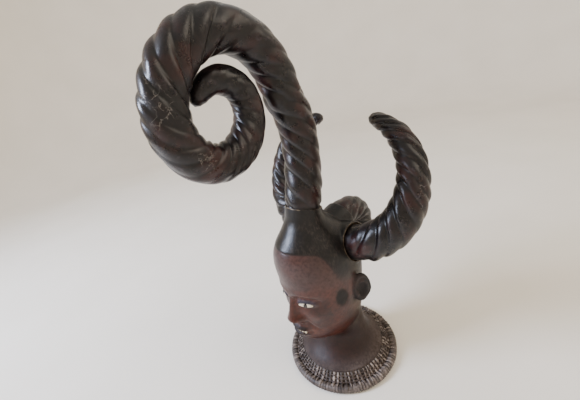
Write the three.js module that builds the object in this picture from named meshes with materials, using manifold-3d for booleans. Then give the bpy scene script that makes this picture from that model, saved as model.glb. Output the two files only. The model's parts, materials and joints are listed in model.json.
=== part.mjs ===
// A crest mask, worn on top of the head: a carved wooden head under a tight skin, four carved horns
// pegged into its crown, and a basketry cap with a bound rim that it is worn and stood on.
// Millimetres, +Z up. The face looks along -Y and the mask's own left is +X. The shapes are laid out
// about the centre of the rim on the table, and the whole is moved along Y at the end.
import * as THREE from 'three';
import Module from 'manifold-3d';
import { mergeVertices } from 'three/addons/utils/BufferGeometryUtils.js';

const wasm = await Module();
wasm.setup();

// ---- driving dimensions ------------------------------------------------------------------------

// Fits
const FIT_GAP = 0.3;          // between pieces that touch
const SKIN = 1.2;             // thickness of the stretched skin
const SKIN_EDGE = 1.2;        // how far a skin's cut edge stays back from a seam
const SEAT_GAP = 0.5;         // between a horn's foot and its seat
const POCKET_GAP = 1.0;       // round a side or rear horn's foot, inside its collar
const OPEN_SEAT = 15;         // round the front horn's foot, which stands on an open collar

// Basket cap and its bound rim
const RIM_RADIUS = 110;
const BINDING_RADIUS = 8.5;
const BINDING_WALL = 1.4;
const HOOP_ROOM = 1.6;        // slack between the binding and the hoop inside it
const CAP_WALL = 3;
const CAP_HEIGHT = 48;        // top of the cap above the table
const BAND_WIDTH = 14.7;      // the woven band in plan, from the cap's edge to the wood
const BAND_SLOPE = 46;        // degrees
const WEFT_COUNT = 3;
const WEFT_THICKNESS = 2;
const STAKE_COUNT = 24;
const STAKE_WIDTH = 5;
const STAKE_THICKNESS = 1.4;
const STAKE_SHARE = 0.8;      // of the band's slope that a stake shows on

// Carved head
const CHIN_HEIGHT = 90;
const CROWN_HEIGHT = 345;     // seat of the front horn
const HEAD_WIDTH = 134;
const HEAD_DEPTH = 172;
const HEAD_CENTRE_Y = -21;
const NECK_RADIUS = 48;
const NECK_LEAN = 4;          // how far back the neck stands at the chin
const FLARE_POWER = 2.6;      // how late the neck flares out to its foot
const FLARE_LIFT = 1;         // of the foot's edge over the band
const FLARE_TOP = 3;          // below the chin
const EAR = { thickness: 8, depth: 15, behind: 22, below: 8, stand: 2 };
const EYE_WIDTH = 27;
const EYE_HEIGHT = 13;
const EYE_THICKNESS = 6;
const PUPIL_RADIUS = 4.2;
const PUPIL_STAND = 0.6;      // over the eye
const PUPIL_ROOT = 1;         // behind the eye's middle
const TEETH_HEIGHT = 6;
const TEETH_DEPTH = 4;
const TEETH_HALF_ANGLE = 17;  // degrees either side of the middle
const LIP_SWELL = 7;          // how far the mouth stands out of the face
const FOOT_PEG_COUNT = 4;
const FOOT_PEG_RADIUS = 3;
const FOOT_PEG_CIRCLE = 34;
const FOOT_PEG_LENGTH = 20;
const FOOT_PEG_BELOW = 7.5;   // of its length, under the top of the cap

// Horns: radius at the foot, tenon peg, and the length of peg in the horn and in the head
const COLLAR_LIP = 5;         // a collar's radius over its horn's foot
const COLLAR_STAND = 5;       // how far a collar stands out past its seat
const COLLAR_TAPER = 1.5;     // how much narrower its outer end is
const COLLAR_ROOT = 4;        // how much deeper than the peg it runs into the head
const FRONT_LIP = 1.5;        // the same for the front horn's open collar
const FRONT_HORN = { foot: 30, peg: 13, inHorn: 30, inHead: 40 };
const SIDE_HORN = { foot: 31, peg: 12, inHorn: 26, inHead: 28 };
const REAR_HORN = { foot: 26, peg: 9, inHorn: 18, inHead: 26 };
const BORE_END = 1;           // clear of a peg's end
const CROWN_STEP = 9;         // below the front seat, where the crown meets its collar
const CROWN_WASTE = 12;       // over the front seat, cut away with it
const CUT_REACH = 80;         // how far out a seat is cut clear

// Front horn: a shaft that leans back, then a coil that winds forward and inward
const FRONT_SEAT_Y = HEAD_CENTRE_Y - 17;
const SHAFT_LEAN = 0.33;      // rise along Y for each unit along Z
const SHAFT_PULL = 145;       // length of the curve's handle at the seat
const SHAFT_EASE = 6;         // and where the coil starts
const COIL_CENTRE_Y = FRONT_SEAT_Y - 93.5;
const COIL_CENTRE_Z = CROWN_HEIGHT + 176;
const COIL_RADIUS = 100.5;
const COIL_DECAY = 0.00253;   // natural-log shrink for each degree
const COIL_TURN = 510;        // degrees
const COIL_STRETCH = 1.13;    // height over width
const COIL_SKEW = 0.067;
const COIL_SKEW_ANGLE = 30.4;
const COIL_BOW = -14;         // how far the middle of the horn leaves the mask's middle plane
const COIL_BOW_END = 0.8;     // share of the length where it is back
const COIL_TIP_SHIFT = -18;
const COIL_TIP_START = 0.6;   // share of the length where the tip starts to move across

// Side horns: arcs in planes that lean forward
const SIDE_ARC_RADIUS = 102;
const SIDE_START = -82;       // degrees on the arc
const SIDE_LEAN = 20;         // degrees
const SIDE_SEAT_X = HEAD_WIDTH / 2 - 15;
const SIDE_SEAT_Y = HEAD_CENTRE_Y + 35;
const SIDE_SEAT_Z = CROWN_HEIGHT - 73;
const LEFT_END = 80;
const RIGHT_END = 85;

// Rear horn: a short hook in the middle plane
const REAR_ARC_RADIUS = 43;
const REAR_SEAT_Y = HEAD_CENTRE_Y + HEAD_DEPTH / 2 - 21;
const REAR_SEAT_Z = CROWN_HEIGHT - 54;
const REAR_START = 115;
const REAR_END = -62;

// Facets round the rim and the cap
const RIM_SEGMENTS = 36;

// ---- finishes ----------------------------------------------------------------------------------

function finish(color, roughness) {
  return new THREE.MeshStandardMaterial({ color, roughness, metalness: 0 });
}
const WOOD = finish('#6b4a30', 0.8);
const HEAD_LEATHER = finish('#4a2c24', 0.45);
const HORN_LEATHER = finish('#2b2223', 0.35);
const CANE = finish('#5a4d44', 0.75);
const PALE_INLAY = finish('#d9cfae', 0.5);
const DARK_PEG = finish('#1c1614', 0.4);

// ---- solids ------------------------------------------------------------------------------------

// Manifold solid of a closed three.js geometry, placed by a matrix.
function solid(geometry, matrix = new THREE.Matrix4()) {
  const plain = geometry.clone().applyMatrix4(matrix);
  plain.deleteAttribute('normal');
  plain.deleteAttribute('uv');
  const merged = mergeVertices(plain, 1e-3);
  const triVerts = new Uint32Array(merged.index.array);
  const vertProperties = new Float32Array(merged.attributes.position.array);
  return new wasm.Manifold(new wasm.Mesh({ numProp: 3, vertProperties, triVerts }));
}

// three.js geometry of a manifold solid.
function geometryOf(manifold) {
  const mesh = manifold.getMesh();
  const geometry = new THREE.BufferGeometry();
  geometry.setAttribute('position', new THREE.BufferAttribute(mesh.vertProperties, 3));
  geometry.setIndex(new THREE.BufferAttribute(mesh.triVerts, 1));
  geometry.computeVertexNormals();
  return geometry;
}

const union = (parts) => parts.reduce((all, part) => all.add(part));
const cut = (body, tools) => tools.reduce((left, tool) => left.subtract(tool), body);

// Closed surface through rings of points, with a pole at each end. Rings run counter-clockwise
// seen from the last pole.
function loft(firstPole, rings, lastPole) {
  const sides = rings[0].length;
  const points = [firstPole, ...rings.flat(), lastPole];
  const last = points.length - 1;
  const index = [];
  const at = (ring, side) => 1 + ring * sides + (side % sides);
  for (let side = 0; side < sides; side += 1) {
    index.push(0, at(0, side + 1), at(0, side));
    index.push(last, at(rings.length - 1, side), at(rings.length - 1, side + 1));
    for (let ring = 0; ring + 1 < rings.length; ring += 1) {
      index.push(at(ring, side), at(ring, side + 1), at(ring + 1, side + 1));
      index.push(at(ring, side), at(ring + 1, side + 1), at(ring + 1, side));
    }
  }
  const geometry = new THREE.BufferGeometry().setFromPoints(points);
  geometry.setIndex(index);
  geometry.computeVertexNormals();
  return geometry;
}

// Lathe about Z from [radius, height] points.
function turned(profile, segments) {
  const points = profile.map(([radius, height]) => new THREE.Vector2(radius, height));
  return new THREE.LatheGeometry(points, segments).rotateX(Math.PI / 2);
}

// Matrix that carries +Z onto a direction, and the origin to a point.
function along(direction, point) {
  const turn = new THREE.Quaternion().setFromUnitVectors(new THREE.Vector3(0, 0, 1), direction);
  return new THREE.Matrix4().compose(point, turn, new THREE.Vector3(1, 1, 1));
}

// Cylinder or cone on a direction, from one distance to another measured from a point.
function rod(point, direction, from, to, radius, segments = 12, endRadius = radius) {
  const middle = point.clone().addScaledVector(direction, (from + to) / 2);
  const geometry = new THREE.CylinderGeometry(endRadius, radius, to - from, segments);
  return geometry.rotateX(Math.PI / 2).applyMatrix4(along(direction, middle));
}

const mask = new THREE.Group();

function place(name, geometry, material) {
  const mesh = new THREE.Mesh(geometry, material);
  mesh.name = name;
  mask.add(mesh);
  return mesh;
}

const radians = THREE.MathUtils.degToRad;
const vector = (x, y, z) => new THREE.Vector3(x, y, z);

// ---- horn paths --------------------------------------------------------------------------------

// Point on the coil at an angle in degrees, as [y, z].
function coilPoint(angle) {
  const skew = 1 + COIL_SKEW * Math.cos(2 * radians(angle - COIL_SKEW_ANGLE));
  const radius = COIL_RADIUS * Math.exp(-COIL_DECAY * angle) * skew;
  const y = COIL_CENTRE_Y + radius * Math.cos(radians(angle));
  const z = COIL_CENTRE_Z + COIL_STRETCH * radius * Math.sin(radians(angle));
  return [y, z];
}

// Centre line of the front horn, at even steps of length.
function frontPath(steps) {
  const [startY, startZ] = coilPoint(0);
  const shaft = new THREE.CubicBezierCurve3(
    vector(0, FRONT_SEAT_Y, CROWN_HEIGHT),
    vector(0, SHAFT_LEAN, 1).normalize().multiplyScalar(SHAFT_PULL)
      .add(vector(0, FRONT_SEAT_Y, CROWN_HEIGHT)),
    vector(0, startY, startZ - SHAFT_EASE),
    vector(0, startY, startZ),
  );
  const fine = shaft.getPoints(30);
  for (let angle = 5; angle <= COIL_TURN; angle += 5) {
    const [y, z] = coilPoint(angle);
    fine.push(vector(0, y, z));
  }
  const flat = new THREE.CatmullRomCurve3(fine, false, 'centripetal').getSpacedPoints(steps);
  return flat.map((point, step) => {
    const share = step / steps;
    const bow = Math.sin(Math.PI * Math.min(share / COIL_BOW_END, 1)) ** 2;
    const tip = Math.max((share - COIL_TIP_START) / (1 - COIL_TIP_START), 0) ** 2;
    return vector(COIL_BOW * bow + COIL_TIP_SHIFT * tip, point.y, point.z);
  });
}

// Centre line of a side horn. The arc's centre follows from the seat; side is 1 left, -1 right.
function sidePath(side, end, steps) {
  const points = [];
  for (let step = 0; step <= steps; step += 1) {
    const angle = radians(SIDE_START + (end - SIDE_START) * step / steps);
    const out = SIDE_ARC_RADIUS * (Math.cos(angle) - Math.cos(radians(SIDE_START)));
    const up = SIDE_ARC_RADIUS * (Math.sin(angle) - Math.sin(radians(SIDE_START)));
    points.push(vector(
      side * (SIDE_SEAT_X + out),
      SIDE_SEAT_Y + up * Math.sin(radians(SIDE_LEAN)),
      SIDE_SEAT_Z + up * Math.cos(radians(SIDE_LEAN)),
    ));
  }
  return points;
}

function rearPath(steps) {
  const points = [];
  for (let step = 0; step <= steps; step += 1) {
    const angle = radians(REAR_START + (REAR_END - REAR_START) * step / steps);
    points.push(vector(
      0,
      REAR_SEAT_Y + REAR_ARC_RADIUS * (Math.cos(angle) - Math.cos(radians(REAR_START))),
      REAR_SEAT_Z + REAR_ARC_RADIUS * (Math.sin(angle) - Math.sin(radians(REAR_START))),
    ));
  }
  return points;
}

// ---- horns -------------------------------------------------------------------------------------

// Each horn's taper: share of its length, and share of its foot's radius.
const FRONT_TAPER = [[0, 1], [0.1, 0.95], [0.7, 0.87], [0.94, 0.6], [0.975, 0.46], [1, 0.24]];
const SIDE_TAPER = [[0, 1], [0.2, 0.97], [0.4, 0.85], [0.8, 0.55], [0.96, 0.36], [1, 0.2]];
const REAR_TAPER = [[0, 1], [0.3, 0.93], [0.6, 0.8], [0.85, 0.66], [0.96, 0.44], [1, 0.24]];

function taperAt(taper, share) {
  const next = Math.max(1, taper.findIndex(([place]) => place >= share));
  const [from, low] = taper[next - 1];
  const [to, high] = taper[next];
  return low + (high - low) * (share - from) / (to - from);
}

// Rings round a path, held square to it and carried along without twist.
function ringsAlong(path, taper, footRadius, sides, inset) {
  const rings = [];
  let across = vector(1, 0, 0);
  if (Math.abs(path[1].clone().sub(path[0]).normalize().x) > 0.9) {
    across = vector(0, 1, 0);
  }
  path.forEach((centre, step) => {
    const before = path[Math.max(step - 1, 0)];
    const after = path[Math.min(step + 1, path.length - 1)];
    const tangent = after.clone().sub(before).normalize();
    across = across.clone().addScaledVector(tangent, -across.dot(tangent)).normalize();
    const third = tangent.clone().cross(across);
    const radius = footRadius * taperAt(taper, step / (path.length - 1)) - inset;
    const ring = [];
    for (let side = 0; side < sides; side += 1) {
      const angle = 2 * Math.PI * side / sides;
      ring.push(centre.clone()
        .addScaledVector(across, radius * Math.cos(angle))
        .addScaledVector(third, radius * Math.sin(angle)));
    }
    rings.push(ring);
  });
  return rings;
}

// Root point and outward direction of a path.
function rootOf(path) {
  return { point: path[0], direction: path[1].clone().sub(path[0]).normalize() };
}

function tipPole(path, footRadius, taper, inset) {
  const last = path.length - 1;
  const direction = path[last].clone().sub(path[last - 1]).normalize();
  return path[last].clone().addScaledVector(direction, footRadius * taper.at(-1)[1] / 2 - inset);
}

// A horn's body drawn in by an inset, its foot cut back by a set-back along its root.
function hornBody({ path, size, taper }, inset, setBack) {
  const { point, direction } = rootOf(path);
  const rings = ringsAlong(path, taper, size.foot, HORN_SIDES, inset);
  rings[0].forEach((corner) => corner.addScaledVector(direction, setBack));
  const foot = point.clone().addScaledVector(direction, setBack);
  return solid(loft(foot, rings, tipPole(path, size.foot, taper, inset)));
}

// The wooden core has a bore for its tenon peg; the skin is a sleeve, open at the foot.
function hornCore(horn) {
  const { point, direction } = rootOf(horn.path);
  const { inHorn, peg } = horn.size;
  const bore = rod(point, direction, -BORE_END, inHorn + FIT_GAP, peg + FIT_GAP);
  return geometryOf(cut(hornBody(horn, SKIN + FIT_GAP, 0), [solid(bore)]));
}

function hornSkin(horn) {
  return geometryOf(cut(hornBody(horn, 0, SKIN_EDGE), [hornBody(horn, SKIN, 0)]));
}

const HORN_SIDES = 8;
const HORNS = [
  {
    name: 'front_horn', size: FRONT_HORN, taper: FRONT_TAPER, room: OPEN_SEAT,
    path: frontPath(36),
  },
  {
    name: 'left_horn', size: SIDE_HORN, taper: SIDE_TAPER, room: POCKET_GAP,
    path: sidePath(1, LEFT_END, 14),
  },
  {
    name: 'right_horn', size: SIDE_HORN, taper: SIDE_TAPER, room: POCKET_GAP,
    path: sidePath(-1, RIGHT_END, 14),
  },
  {
    name: 'rear_horn', size: REAR_HORN, taper: REAR_TAPER, room: POCKET_GAP,
    path: rearPath(10),
  },
];

for (const horn of HORNS) {
  const { point, direction } = rootOf(horn.path);
  place(`${horn.name}_core`, hornCore(horn), WOOD);
  place(`${horn.name}_skin`, hornSkin(horn), HORN_LEATHER);
  place(`${horn.name}_peg`,
    rod(point, direction, -horn.size.inHead, horn.size.inHorn, horn.size.peg), WOOD);
}

// ---- basket cap --------------------------------------------------------------------------------

const bindingFlat = BINDING_RADIUS * Math.cos(radians(22.5));
const bindingCentre = { r: RIM_RADIUS - bindingFlat, z: bindingFlat };
const hoopRadius = BINDING_RADIUS - BINDING_WALL - HOOP_ROOM;
const hoopCentre = { r: RIM_RADIUS - BINDING_WALL - hoopRadius - FIT_GAP, z: bindingFlat };

// The band climbs inward from the hoop at one slope; inside the foot the cap rounds over.
const capEdge = { r: hoopCentre.r - hoopRadius - 2 * FIT_GAP, z: bindingFlat + CAP_WALL / 2 };
const footRadius = capEdge.r - BAND_WIDTH;
const bandTop = { r: footRadius, z: capEdge.z + BAND_WIDTH * Math.tan(radians(BAND_SLOPE)) };

// The dome's rings, as shares of its radius.
const DOME_RINGS = [0.75, 0.45, 0.2, 0];

// Outer face of the cap as [radius, height] points, edge first, moved out by an offset.
function capFace(offset) {
  const out = [Math.sin(radians(BAND_SLOPE)), Math.cos(radians(BAND_SLOPE))];
  const rise = CAP_HEIGHT - bandTop.z;
  const dome = DOME_RINGS.map((share) => {
    const lift = rise * Math.sqrt(1 - share * share);
    return [bandTop.r * share, bandTop.z + lift + offset];
  });
  return [
    [capEdge.r + offset * out[0], capEdge.z + offset * out[1]],
    [bandTop.r + offset * out[0], bandTop.z + offset * out[1]],
    ...dome,
  ];
}

const footPegTop = FOOT_PEG_LENGTH - FOOT_PEG_BELOW;
const footPegs = [];
for (let peg = 0; peg < FOOT_PEG_COUNT; peg += 1) {
  const angle = 2 * Math.PI * (peg + 0.5) / FOOT_PEG_COUNT;
  const foot = vector(
    FOOT_PEG_CIRCLE * Math.cos(angle), FOOT_PEG_CIRCLE * Math.sin(angle), CAP_HEIGHT);
  footPegs.push(foot);
}
const UP = vector(0, 0, 1);

const capProfile = [...capFace(-CAP_WALL).reverse(), ...capFace(0)];
const capBody = solid(turned(capProfile, RIM_SEGMENTS));
const capHoles = footPegs.map((foot) => solid(
  rod(foot, UP, -CAP_HEIGHT / 2, CAP_HEIGHT, FOOT_PEG_RADIUS + FIT_GAP, 10)));
place('basket_cap', geometryOf(cut(capBody, capHoles)), CANE);

footPegs.forEach((foot, peg) => {
  const geometry = rod(foot, UP, -FOOT_PEG_BELOW, footPegTop, FOOT_PEG_RADIUS, 8);
  place(`foot_peg_${peg + 1}`, geometry, WOOD);
});

// Binding: cane wrapped round the hoop, open on the side where the cap's edge comes in.
function bindingFace(radius, angles) {
  return angles.map((angle) => [
    bindingCentre.r + radius * Math.cos(radians(angle)),
    bindingCentre.z + radius * Math.sin(radians(angle)),
  ]);
}
const bindingAngles = [112.5, 67.5, 22.5, -22.5, -67.5, -112.5];
const bindingRing = [
  ...bindingFace(BINDING_RADIUS, bindingAngles),
  ...bindingFace(BINDING_RADIUS - BINDING_WALL, bindingAngles).reverse(),
];
place('rim_binding', turned([...bindingRing, bindingRing[0]].reverse(), RIM_SEGMENTS), CANE);

const hoop = new THREE.TorusGeometry(hoopCentre.r, hoopRadius, 6, RIM_SEGMENTS);
place('rim_hoop', hoop, CANE).position.z = hoopCentre.z;

// Wefts lie on the band, stakes lie across them.
const bandLength = BAND_WIDTH / Math.cos(radians(BAND_SLOPE));
const weftLift = FIT_GAP + WEFT_THICKNESS / 2;
const stakeLift = 2 * FIT_GAP + WEFT_THICKNESS + STAKE_THICKNESS / 2;

// Point on the band, a length up its slope from the cap's edge and a height off its face.
function bandPoint(length, lift) {
  const slope = radians(BAND_SLOPE);
  return [
    capEdge.r - length * Math.cos(slope) + lift * Math.sin(slope),
    capEdge.z + length * Math.sin(slope) + lift * Math.cos(slope),
  ];
}

for (let weft = 0; weft < WEFT_COUNT; weft += 1) {
  const middle = bandLength * (weft + 1) / (WEFT_COUNT + 1);
  const half = WEFT_THICKNESS / 2;
  const corners = [
    bandPoint(middle - half, weftLift - half), bandPoint(middle + half, weftLift - half),
    bandPoint(middle + half, weftLift + half), bandPoint(middle - half, weftLift + half),
  ];
  place(`weft_${weft + 1}`, turned([...corners, corners[0]].reverse(), RIM_SEGMENTS), CANE);
}

const stakeLength = bandLength * STAKE_SHARE;
for (let stake = 0; stake < STAKE_COUNT; stake += 1) {
  const angle = 2 * Math.PI * stake / STAKE_COUNT;
  const [radius, height] = bandPoint(bandLength / 2, stakeLift);
  const mesh = place(
    `stake_${String(stake + 1).padStart(2, '0')}`,
    new THREE.BoxGeometry(stakeLength, STAKE_WIDTH, STAKE_THICKNESS), CANE);
  mesh.position.set(radius * Math.cos(angle), radius * Math.sin(angle), height);
  mesh.rotation.set(0, radians(BAND_SLOPE), angle, 'ZYX');
}

// ---- carved head -------------------------------------------------------------------------------

// Sections of neck and head: share of the way up from chin to crown, half width over the head's,
// and front and back reach over half the head's depth, both from the head's centre.
const HEAD_SECTIONS = [
  [0.04, 0.66, 0.70, 0.88],
  [0.10, 0.78, 0.80, 0.86],
  [0.18, 0.86, 0.84, 0.88],
  [0.28, 0.92, 0.87, 0.92],
  [0.38, 0.97, 0.89, 0.97],
  [0.48, 1.00, 0.92, 1.00],
  [0.58, 1.00, 0.97, 1.00],
  [0.68, 0.96, 1.00, 0.93],
  [0.76, 0.87, 0.98, 0.79],
  [0.82, 0.74, 0.90, 0.62],
  [0.87, 0.62, 0.76, 0.42],
  [0.92, 0.52, 0.64, 0.24],
];
const HEAD_SIDES = 20;

function ellipseRing(centreY, halfWidth, halfDepth, height) {
  const ring = [];
  for (let side = 0; side < HEAD_SIDES; side += 1) {
    const angle = 2 * Math.PI * side / HEAD_SIDES;
    ring.push(vector(halfWidth * Math.cos(angle), centreY + halfDepth * Math.sin(angle), height));
  }
  return ring;
}

function headSection([share, width, front, back]) {
  const halfDepth = HEAD_DEPTH / 2;
  return {
    z: CHIN_HEIGHT + share * (CROWN_HEIGHT - CHIN_HEIGHT),
    y: HEAD_CENTRE_Y + (back - front) / 2 * halfDepth,
    halfWidth: width * HEAD_WIDTH / 2,
    halfDepth: (front + back) / 2 * halfDepth,
  };
}
const sections = HEAD_SECTIONS.map(headSection);

// The foot flares out from the neck like a trumpet.
function flareRing(share) {
  const radius = NECK_RADIUS + (footRadius - NECK_RADIUS) * (1 - share) ** FLARE_POWER;
  const low = bandTop.z + FLARE_LIFT;
  const height = low + (CHIN_HEIGHT - FLARE_TOP - low) * share;
  return ellipseRing(NECK_LEAN * share, radius, radius, height);
}

const collarRadius = FRONT_HORN.foot + FRONT_LIP;
const headRings = [
  ellipseRing(0, footRadius, footRadius, 0),
  ...[0, 0.12, 0.27, 0.45, 0.7, 1].map(flareRing),
  ...sections.map((s) => ellipseRing(s.y, s.halfWidth, s.halfDepth, s.z)),
  ellipseRing(FRONT_SEAT_Y, collarRadius, collarRadius, CROWN_HEIGHT - CROWN_STEP),
  ellipseRing(FRONT_SEAT_Y, collarRadius, collarRadius, CROWN_HEIGHT + CROWN_WASTE),
];

// Lofted head drawn in by an inset along its own normals.
function headBlock(inset) {
  const top = vector(0, FRONT_SEAT_Y, CROWN_HEIGHT + CROWN_WASTE);
  const block = loft(vector(0, 0, 0), headRings, top);
  const points = block.attributes.position;
  const normal = block.attributes.normal;
  for (let i = 0; i < points.count; i += 1) {
    points.setXYZ(i,
      points.getX(i) - inset * normal.getX(i),
      points.getY(i) - inset * normal.getY(i),
      points.getZ(i) - inset * normal.getZ(i));
  }
  return solid(block);
}

// Half width, depth and centre of the head at a height, between two sections.
function sectionAt(height) {
  const next = sections.findIndex((s) => s.z > height);
  const [low, high] = [sections[next - 1], sections[next]];
  const share = (height - low.z) / (high.z - low.z);
  const mix = (key) => low[key] + (high[key] - low[key]) * share;
  return { y: mix('y'), halfWidth: mix('halfWidth'), halfDepth: mix('halfDepth') };
}

// Face by even thirds: hairline to brow, brow to nose, nose to chin.
const HAIRLINE = CHIN_HEIGHT + 0.77 * (CROWN_HEIGHT - CHIN_HEIGHT);
const third = (HAIRLINE - CHIN_HEIGHT) / 3;
const EYE_LINE = CHIN_HEIGHT + 1.68 * third;
const NOSE_BASE = CHIN_HEIGHT + third;
const MOUTH_LINE = CHIN_HEIGHT + 0.66 * third;

function faceY(x, height) {
  const { y, halfWidth, halfDepth } = sectionAt(height);
  return y - halfDepth * Math.sqrt(1 - (x / halfWidth) ** 2);
}

// Egg-shaped swelling: centre, radii and inset.
function swelling(centre, radii, inset) {
  const size = radii.map((radius) => radius - inset);
  return solid(new THREE.SphereGeometry(1, 8, 6), new THREE.Matrix4().compose(
    centre, new THREE.Quaternion(), vector(...size)));
}

function faceSwellings(inset) {
  const noseMiddle = (NOSE_BASE + EYE_LINE) / 2 - 4;
  const earHeight = EYE_LINE - EAR.below;
  const earSide = sectionAt(earHeight).halfWidth + EAR.stand;
  const ears = [-1, 1].map((side) => swelling(
    vector(side * earSide, HEAD_CENTRE_Y + EAR.behind, earHeight),
    [EAR.thickness, EAR.depth, third / 2], inset));
  return [
    swelling(vector(0, faceY(0, noseMiddle) + 3, noseMiddle), [12, 19, third * 0.36], inset),
    swelling(vector(0, faceY(0, MOUTH_LINE) + 5, MOUTH_LINE), [25, 11, 13], inset),
    swelling(vector(0, faceY(0, CHIN_HEIGHT + 18) + 12, CHIN_HEIGHT + 16), [22, 18, 15], inset),
    ...ears,
  ];
}

// Collars that the side and rear horns stand in.
function collars(inset) {
  return HORNS.slice(1).map(({ path, size }) => {
    const { point, direction } = rootOf(path);
    const radius = size.foot + COLLAR_LIP - inset;
    const inside = -size.inHead - COLLAR_ROOT;
    const outside = COLLAR_STAND - inset;
    return solid(rod(point, direction, inside, outside, radius, 16, radius - COLLAR_TAPER));
  });
}

// What is cut away for each horn's foot: everything outside its seat, out past the collar.
function seatCuts(back) {
  return HORNS.map(({ path, size, room }) => {
    const { point, direction } = rootOf(path);
    const radius = (size.foot + room) / Math.cos(Math.PI / 16);
    return solid(rod(point, direction, -SEAT_GAP - back, CUT_REACH, radius, 16));
  });
}

function boreCuts() {
  return HORNS.map(({ path, size }) => {
    const { point, direction } = rootOf(path);
    return solid(rod(point, direction, -size.inHead - BORE_END, BORE_END, size.peg + FIT_GAP));
  });
}

// Space under the foot, which the basket cap fills.
function footHollow() {
  const face = capFace(FIT_GAP);
  const below = -CAP_HEIGHT / 4;
  const profile = [[0, below], [RIM_RADIUS, below], [RIM_RADIUS, face[0][1]], ...face];
  return solid(turned(profile, RIM_SEGMENTS));
}

// Eyes: a pale wood lens with a dark peg for its pupil, square to the face.
function eyeSeat(side) {
  const x = side * HEAD_WIDTH / 5;
  const { y, halfWidth, halfDepth } = sectionAt(EYE_LINE);
  const front = faceY(x, EYE_LINE);
  const out = vector(x / halfWidth ** 2, (front - y) / halfDepth ** 2, 0).normalize();
  return { out, at: vector(x, front, EYE_LINE) };
}

function eyeLens(side, gap) {
  const { out, at } = eyeSeat(side);
  const turn = new THREE.Quaternion().setFromUnitVectors(vector(0, -1, 0), out);
  const size = vector(EYE_WIDTH / 2 + gap, EYE_THICKNESS / 2 + gap, EYE_HEIGHT / 2 + gap);
  return solid(new THREE.SphereGeometry(1, 10, 6), new THREE.Matrix4().compose(at, turn, size));
}

// A pupil, or with a gap the hole for it, which runs on out of the eye.
function pupil(side, gap, outside) {
  const { out, at } = eyeSeat(side);
  return rod(at, out, -PUPIL_ROOT - gap, EYE_THICKNESS / 2 + outside, PUPIL_RADIUS + gap, 12);
}

for (const [name, side] of [['left', 1], ['right', -1]]) {
  const hole = solid(pupil(side, FIT_GAP, EYE_THICKNESS / 2));
  place(`${name}_eye`, geometryOf(cut(eyeLens(side, 0), [hole])), PALE_INLAY);
  place(`${name}_pupil`, pupil(side, 0, PUPIL_STAND), DARK_PEG);
}

// Teeth: one strip of cane that follows the curve of the jaw.
function teethStrip(gap) {
  const { y, halfWidth, halfDepth } = sectionAt(MOUTH_LINE);
  const shape = new THREE.Shape();
  const half = radians(TEETH_HALF_ANGLE) + gap / halfWidth;
  const inner = halfDepth + LIP_SWELL - TEETH_DEPTH - gap;
  const outer = halfDepth + LIP_SWELL + gap;
  const arc = (radius, from, to) => {
    const points = [];
    for (let step = 0; step <= 6; step += 1) {
      const angle = from + (to - from) * step / 6;
      points.push(new THREE.Vector2(halfWidth * Math.sin(angle), y - radius * Math.cos(angle)));
    }
    return points;
  };
  shape.setFromPoints([...arc(outer, -half, half), ...arc(inner, half, -half)]);
  const geometry = new THREE.ExtrudeGeometry(
    shape, { depth: TEETH_HEIGHT + 2 * gap, bevelEnabled: false });
  return geometry.translate(0, 0, MOUTH_LINE - TEETH_HEIGHT / 2 - gap);
}
place('teeth_strip', teethStrip(0), PALE_INLAY);

// The same cuts go through skin and wood; only the seats are cut back further in the skin.
function headCuts(back) {
  return [
    ...seatCuts(back), ...boreCuts(), footHollow(),
    eyeLens(1, FIT_GAP), eyeLens(-1, FIT_GAP), solid(teethStrip(FIT_GAP)),
  ];
}

function headSolid(inset) {
  return union([headBlock(inset), ...collars(inset), ...faceSwellings(inset)]);
}

const footPegBores = footPegs.map((foot) => solid(
  rod(foot, UP, -FOOT_PEG_BELOW, footPegTop + FIT_GAP, FOOT_PEG_RADIUS + FIT_GAP, 10)));

place('head_core',
  geometryOf(cut(headSolid(SKIN + FIT_GAP), [...headCuts(0), ...footPegBores])), WOOD);
place('head_skin',
  geometryOf(cut(headSolid(0), [headSolid(SKIN), ...headCuts(SKIN_EDGE)])), HEAD_LEATHER);

// ---- stand -------------------------------------------------------------------------------------

// The origin is under the middle of the whole mask's box.
mask.updateMatrixWorld(true);
const box = new THREE.Box3().setFromObject(mask, true);
mask.position.y = -(box.min.y + box.max.y) / 2;

const group = new THREE.Group();
group.add(mask);
export default group;
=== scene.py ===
import json
import math

import bmesh
import bpy
import numpy as np
from mathutils import Matrix, Vector


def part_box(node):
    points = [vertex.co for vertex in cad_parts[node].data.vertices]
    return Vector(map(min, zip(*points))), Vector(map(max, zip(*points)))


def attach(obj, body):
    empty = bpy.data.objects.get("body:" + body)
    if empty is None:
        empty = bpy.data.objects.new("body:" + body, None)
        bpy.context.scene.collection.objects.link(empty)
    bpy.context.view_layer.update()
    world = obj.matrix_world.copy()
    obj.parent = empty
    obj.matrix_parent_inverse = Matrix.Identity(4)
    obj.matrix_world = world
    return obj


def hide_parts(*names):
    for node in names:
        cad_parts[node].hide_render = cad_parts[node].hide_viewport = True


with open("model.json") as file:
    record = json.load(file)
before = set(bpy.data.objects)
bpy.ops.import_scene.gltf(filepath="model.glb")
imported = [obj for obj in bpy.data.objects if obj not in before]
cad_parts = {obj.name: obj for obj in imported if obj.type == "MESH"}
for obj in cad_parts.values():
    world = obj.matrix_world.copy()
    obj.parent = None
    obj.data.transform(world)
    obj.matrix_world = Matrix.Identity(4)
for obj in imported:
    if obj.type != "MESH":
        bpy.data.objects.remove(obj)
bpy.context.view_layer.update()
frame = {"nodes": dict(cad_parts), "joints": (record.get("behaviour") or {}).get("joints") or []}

# ---- Camera ------------------------------------------------------------------------------------
# Seen from the mask's left front and from above its crown, close, with a wide lens held a little
# askew, as a hand-held picture of a piece on a table is.
MM = 0.001
rim_low, rim_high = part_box("rim_binding")
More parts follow.
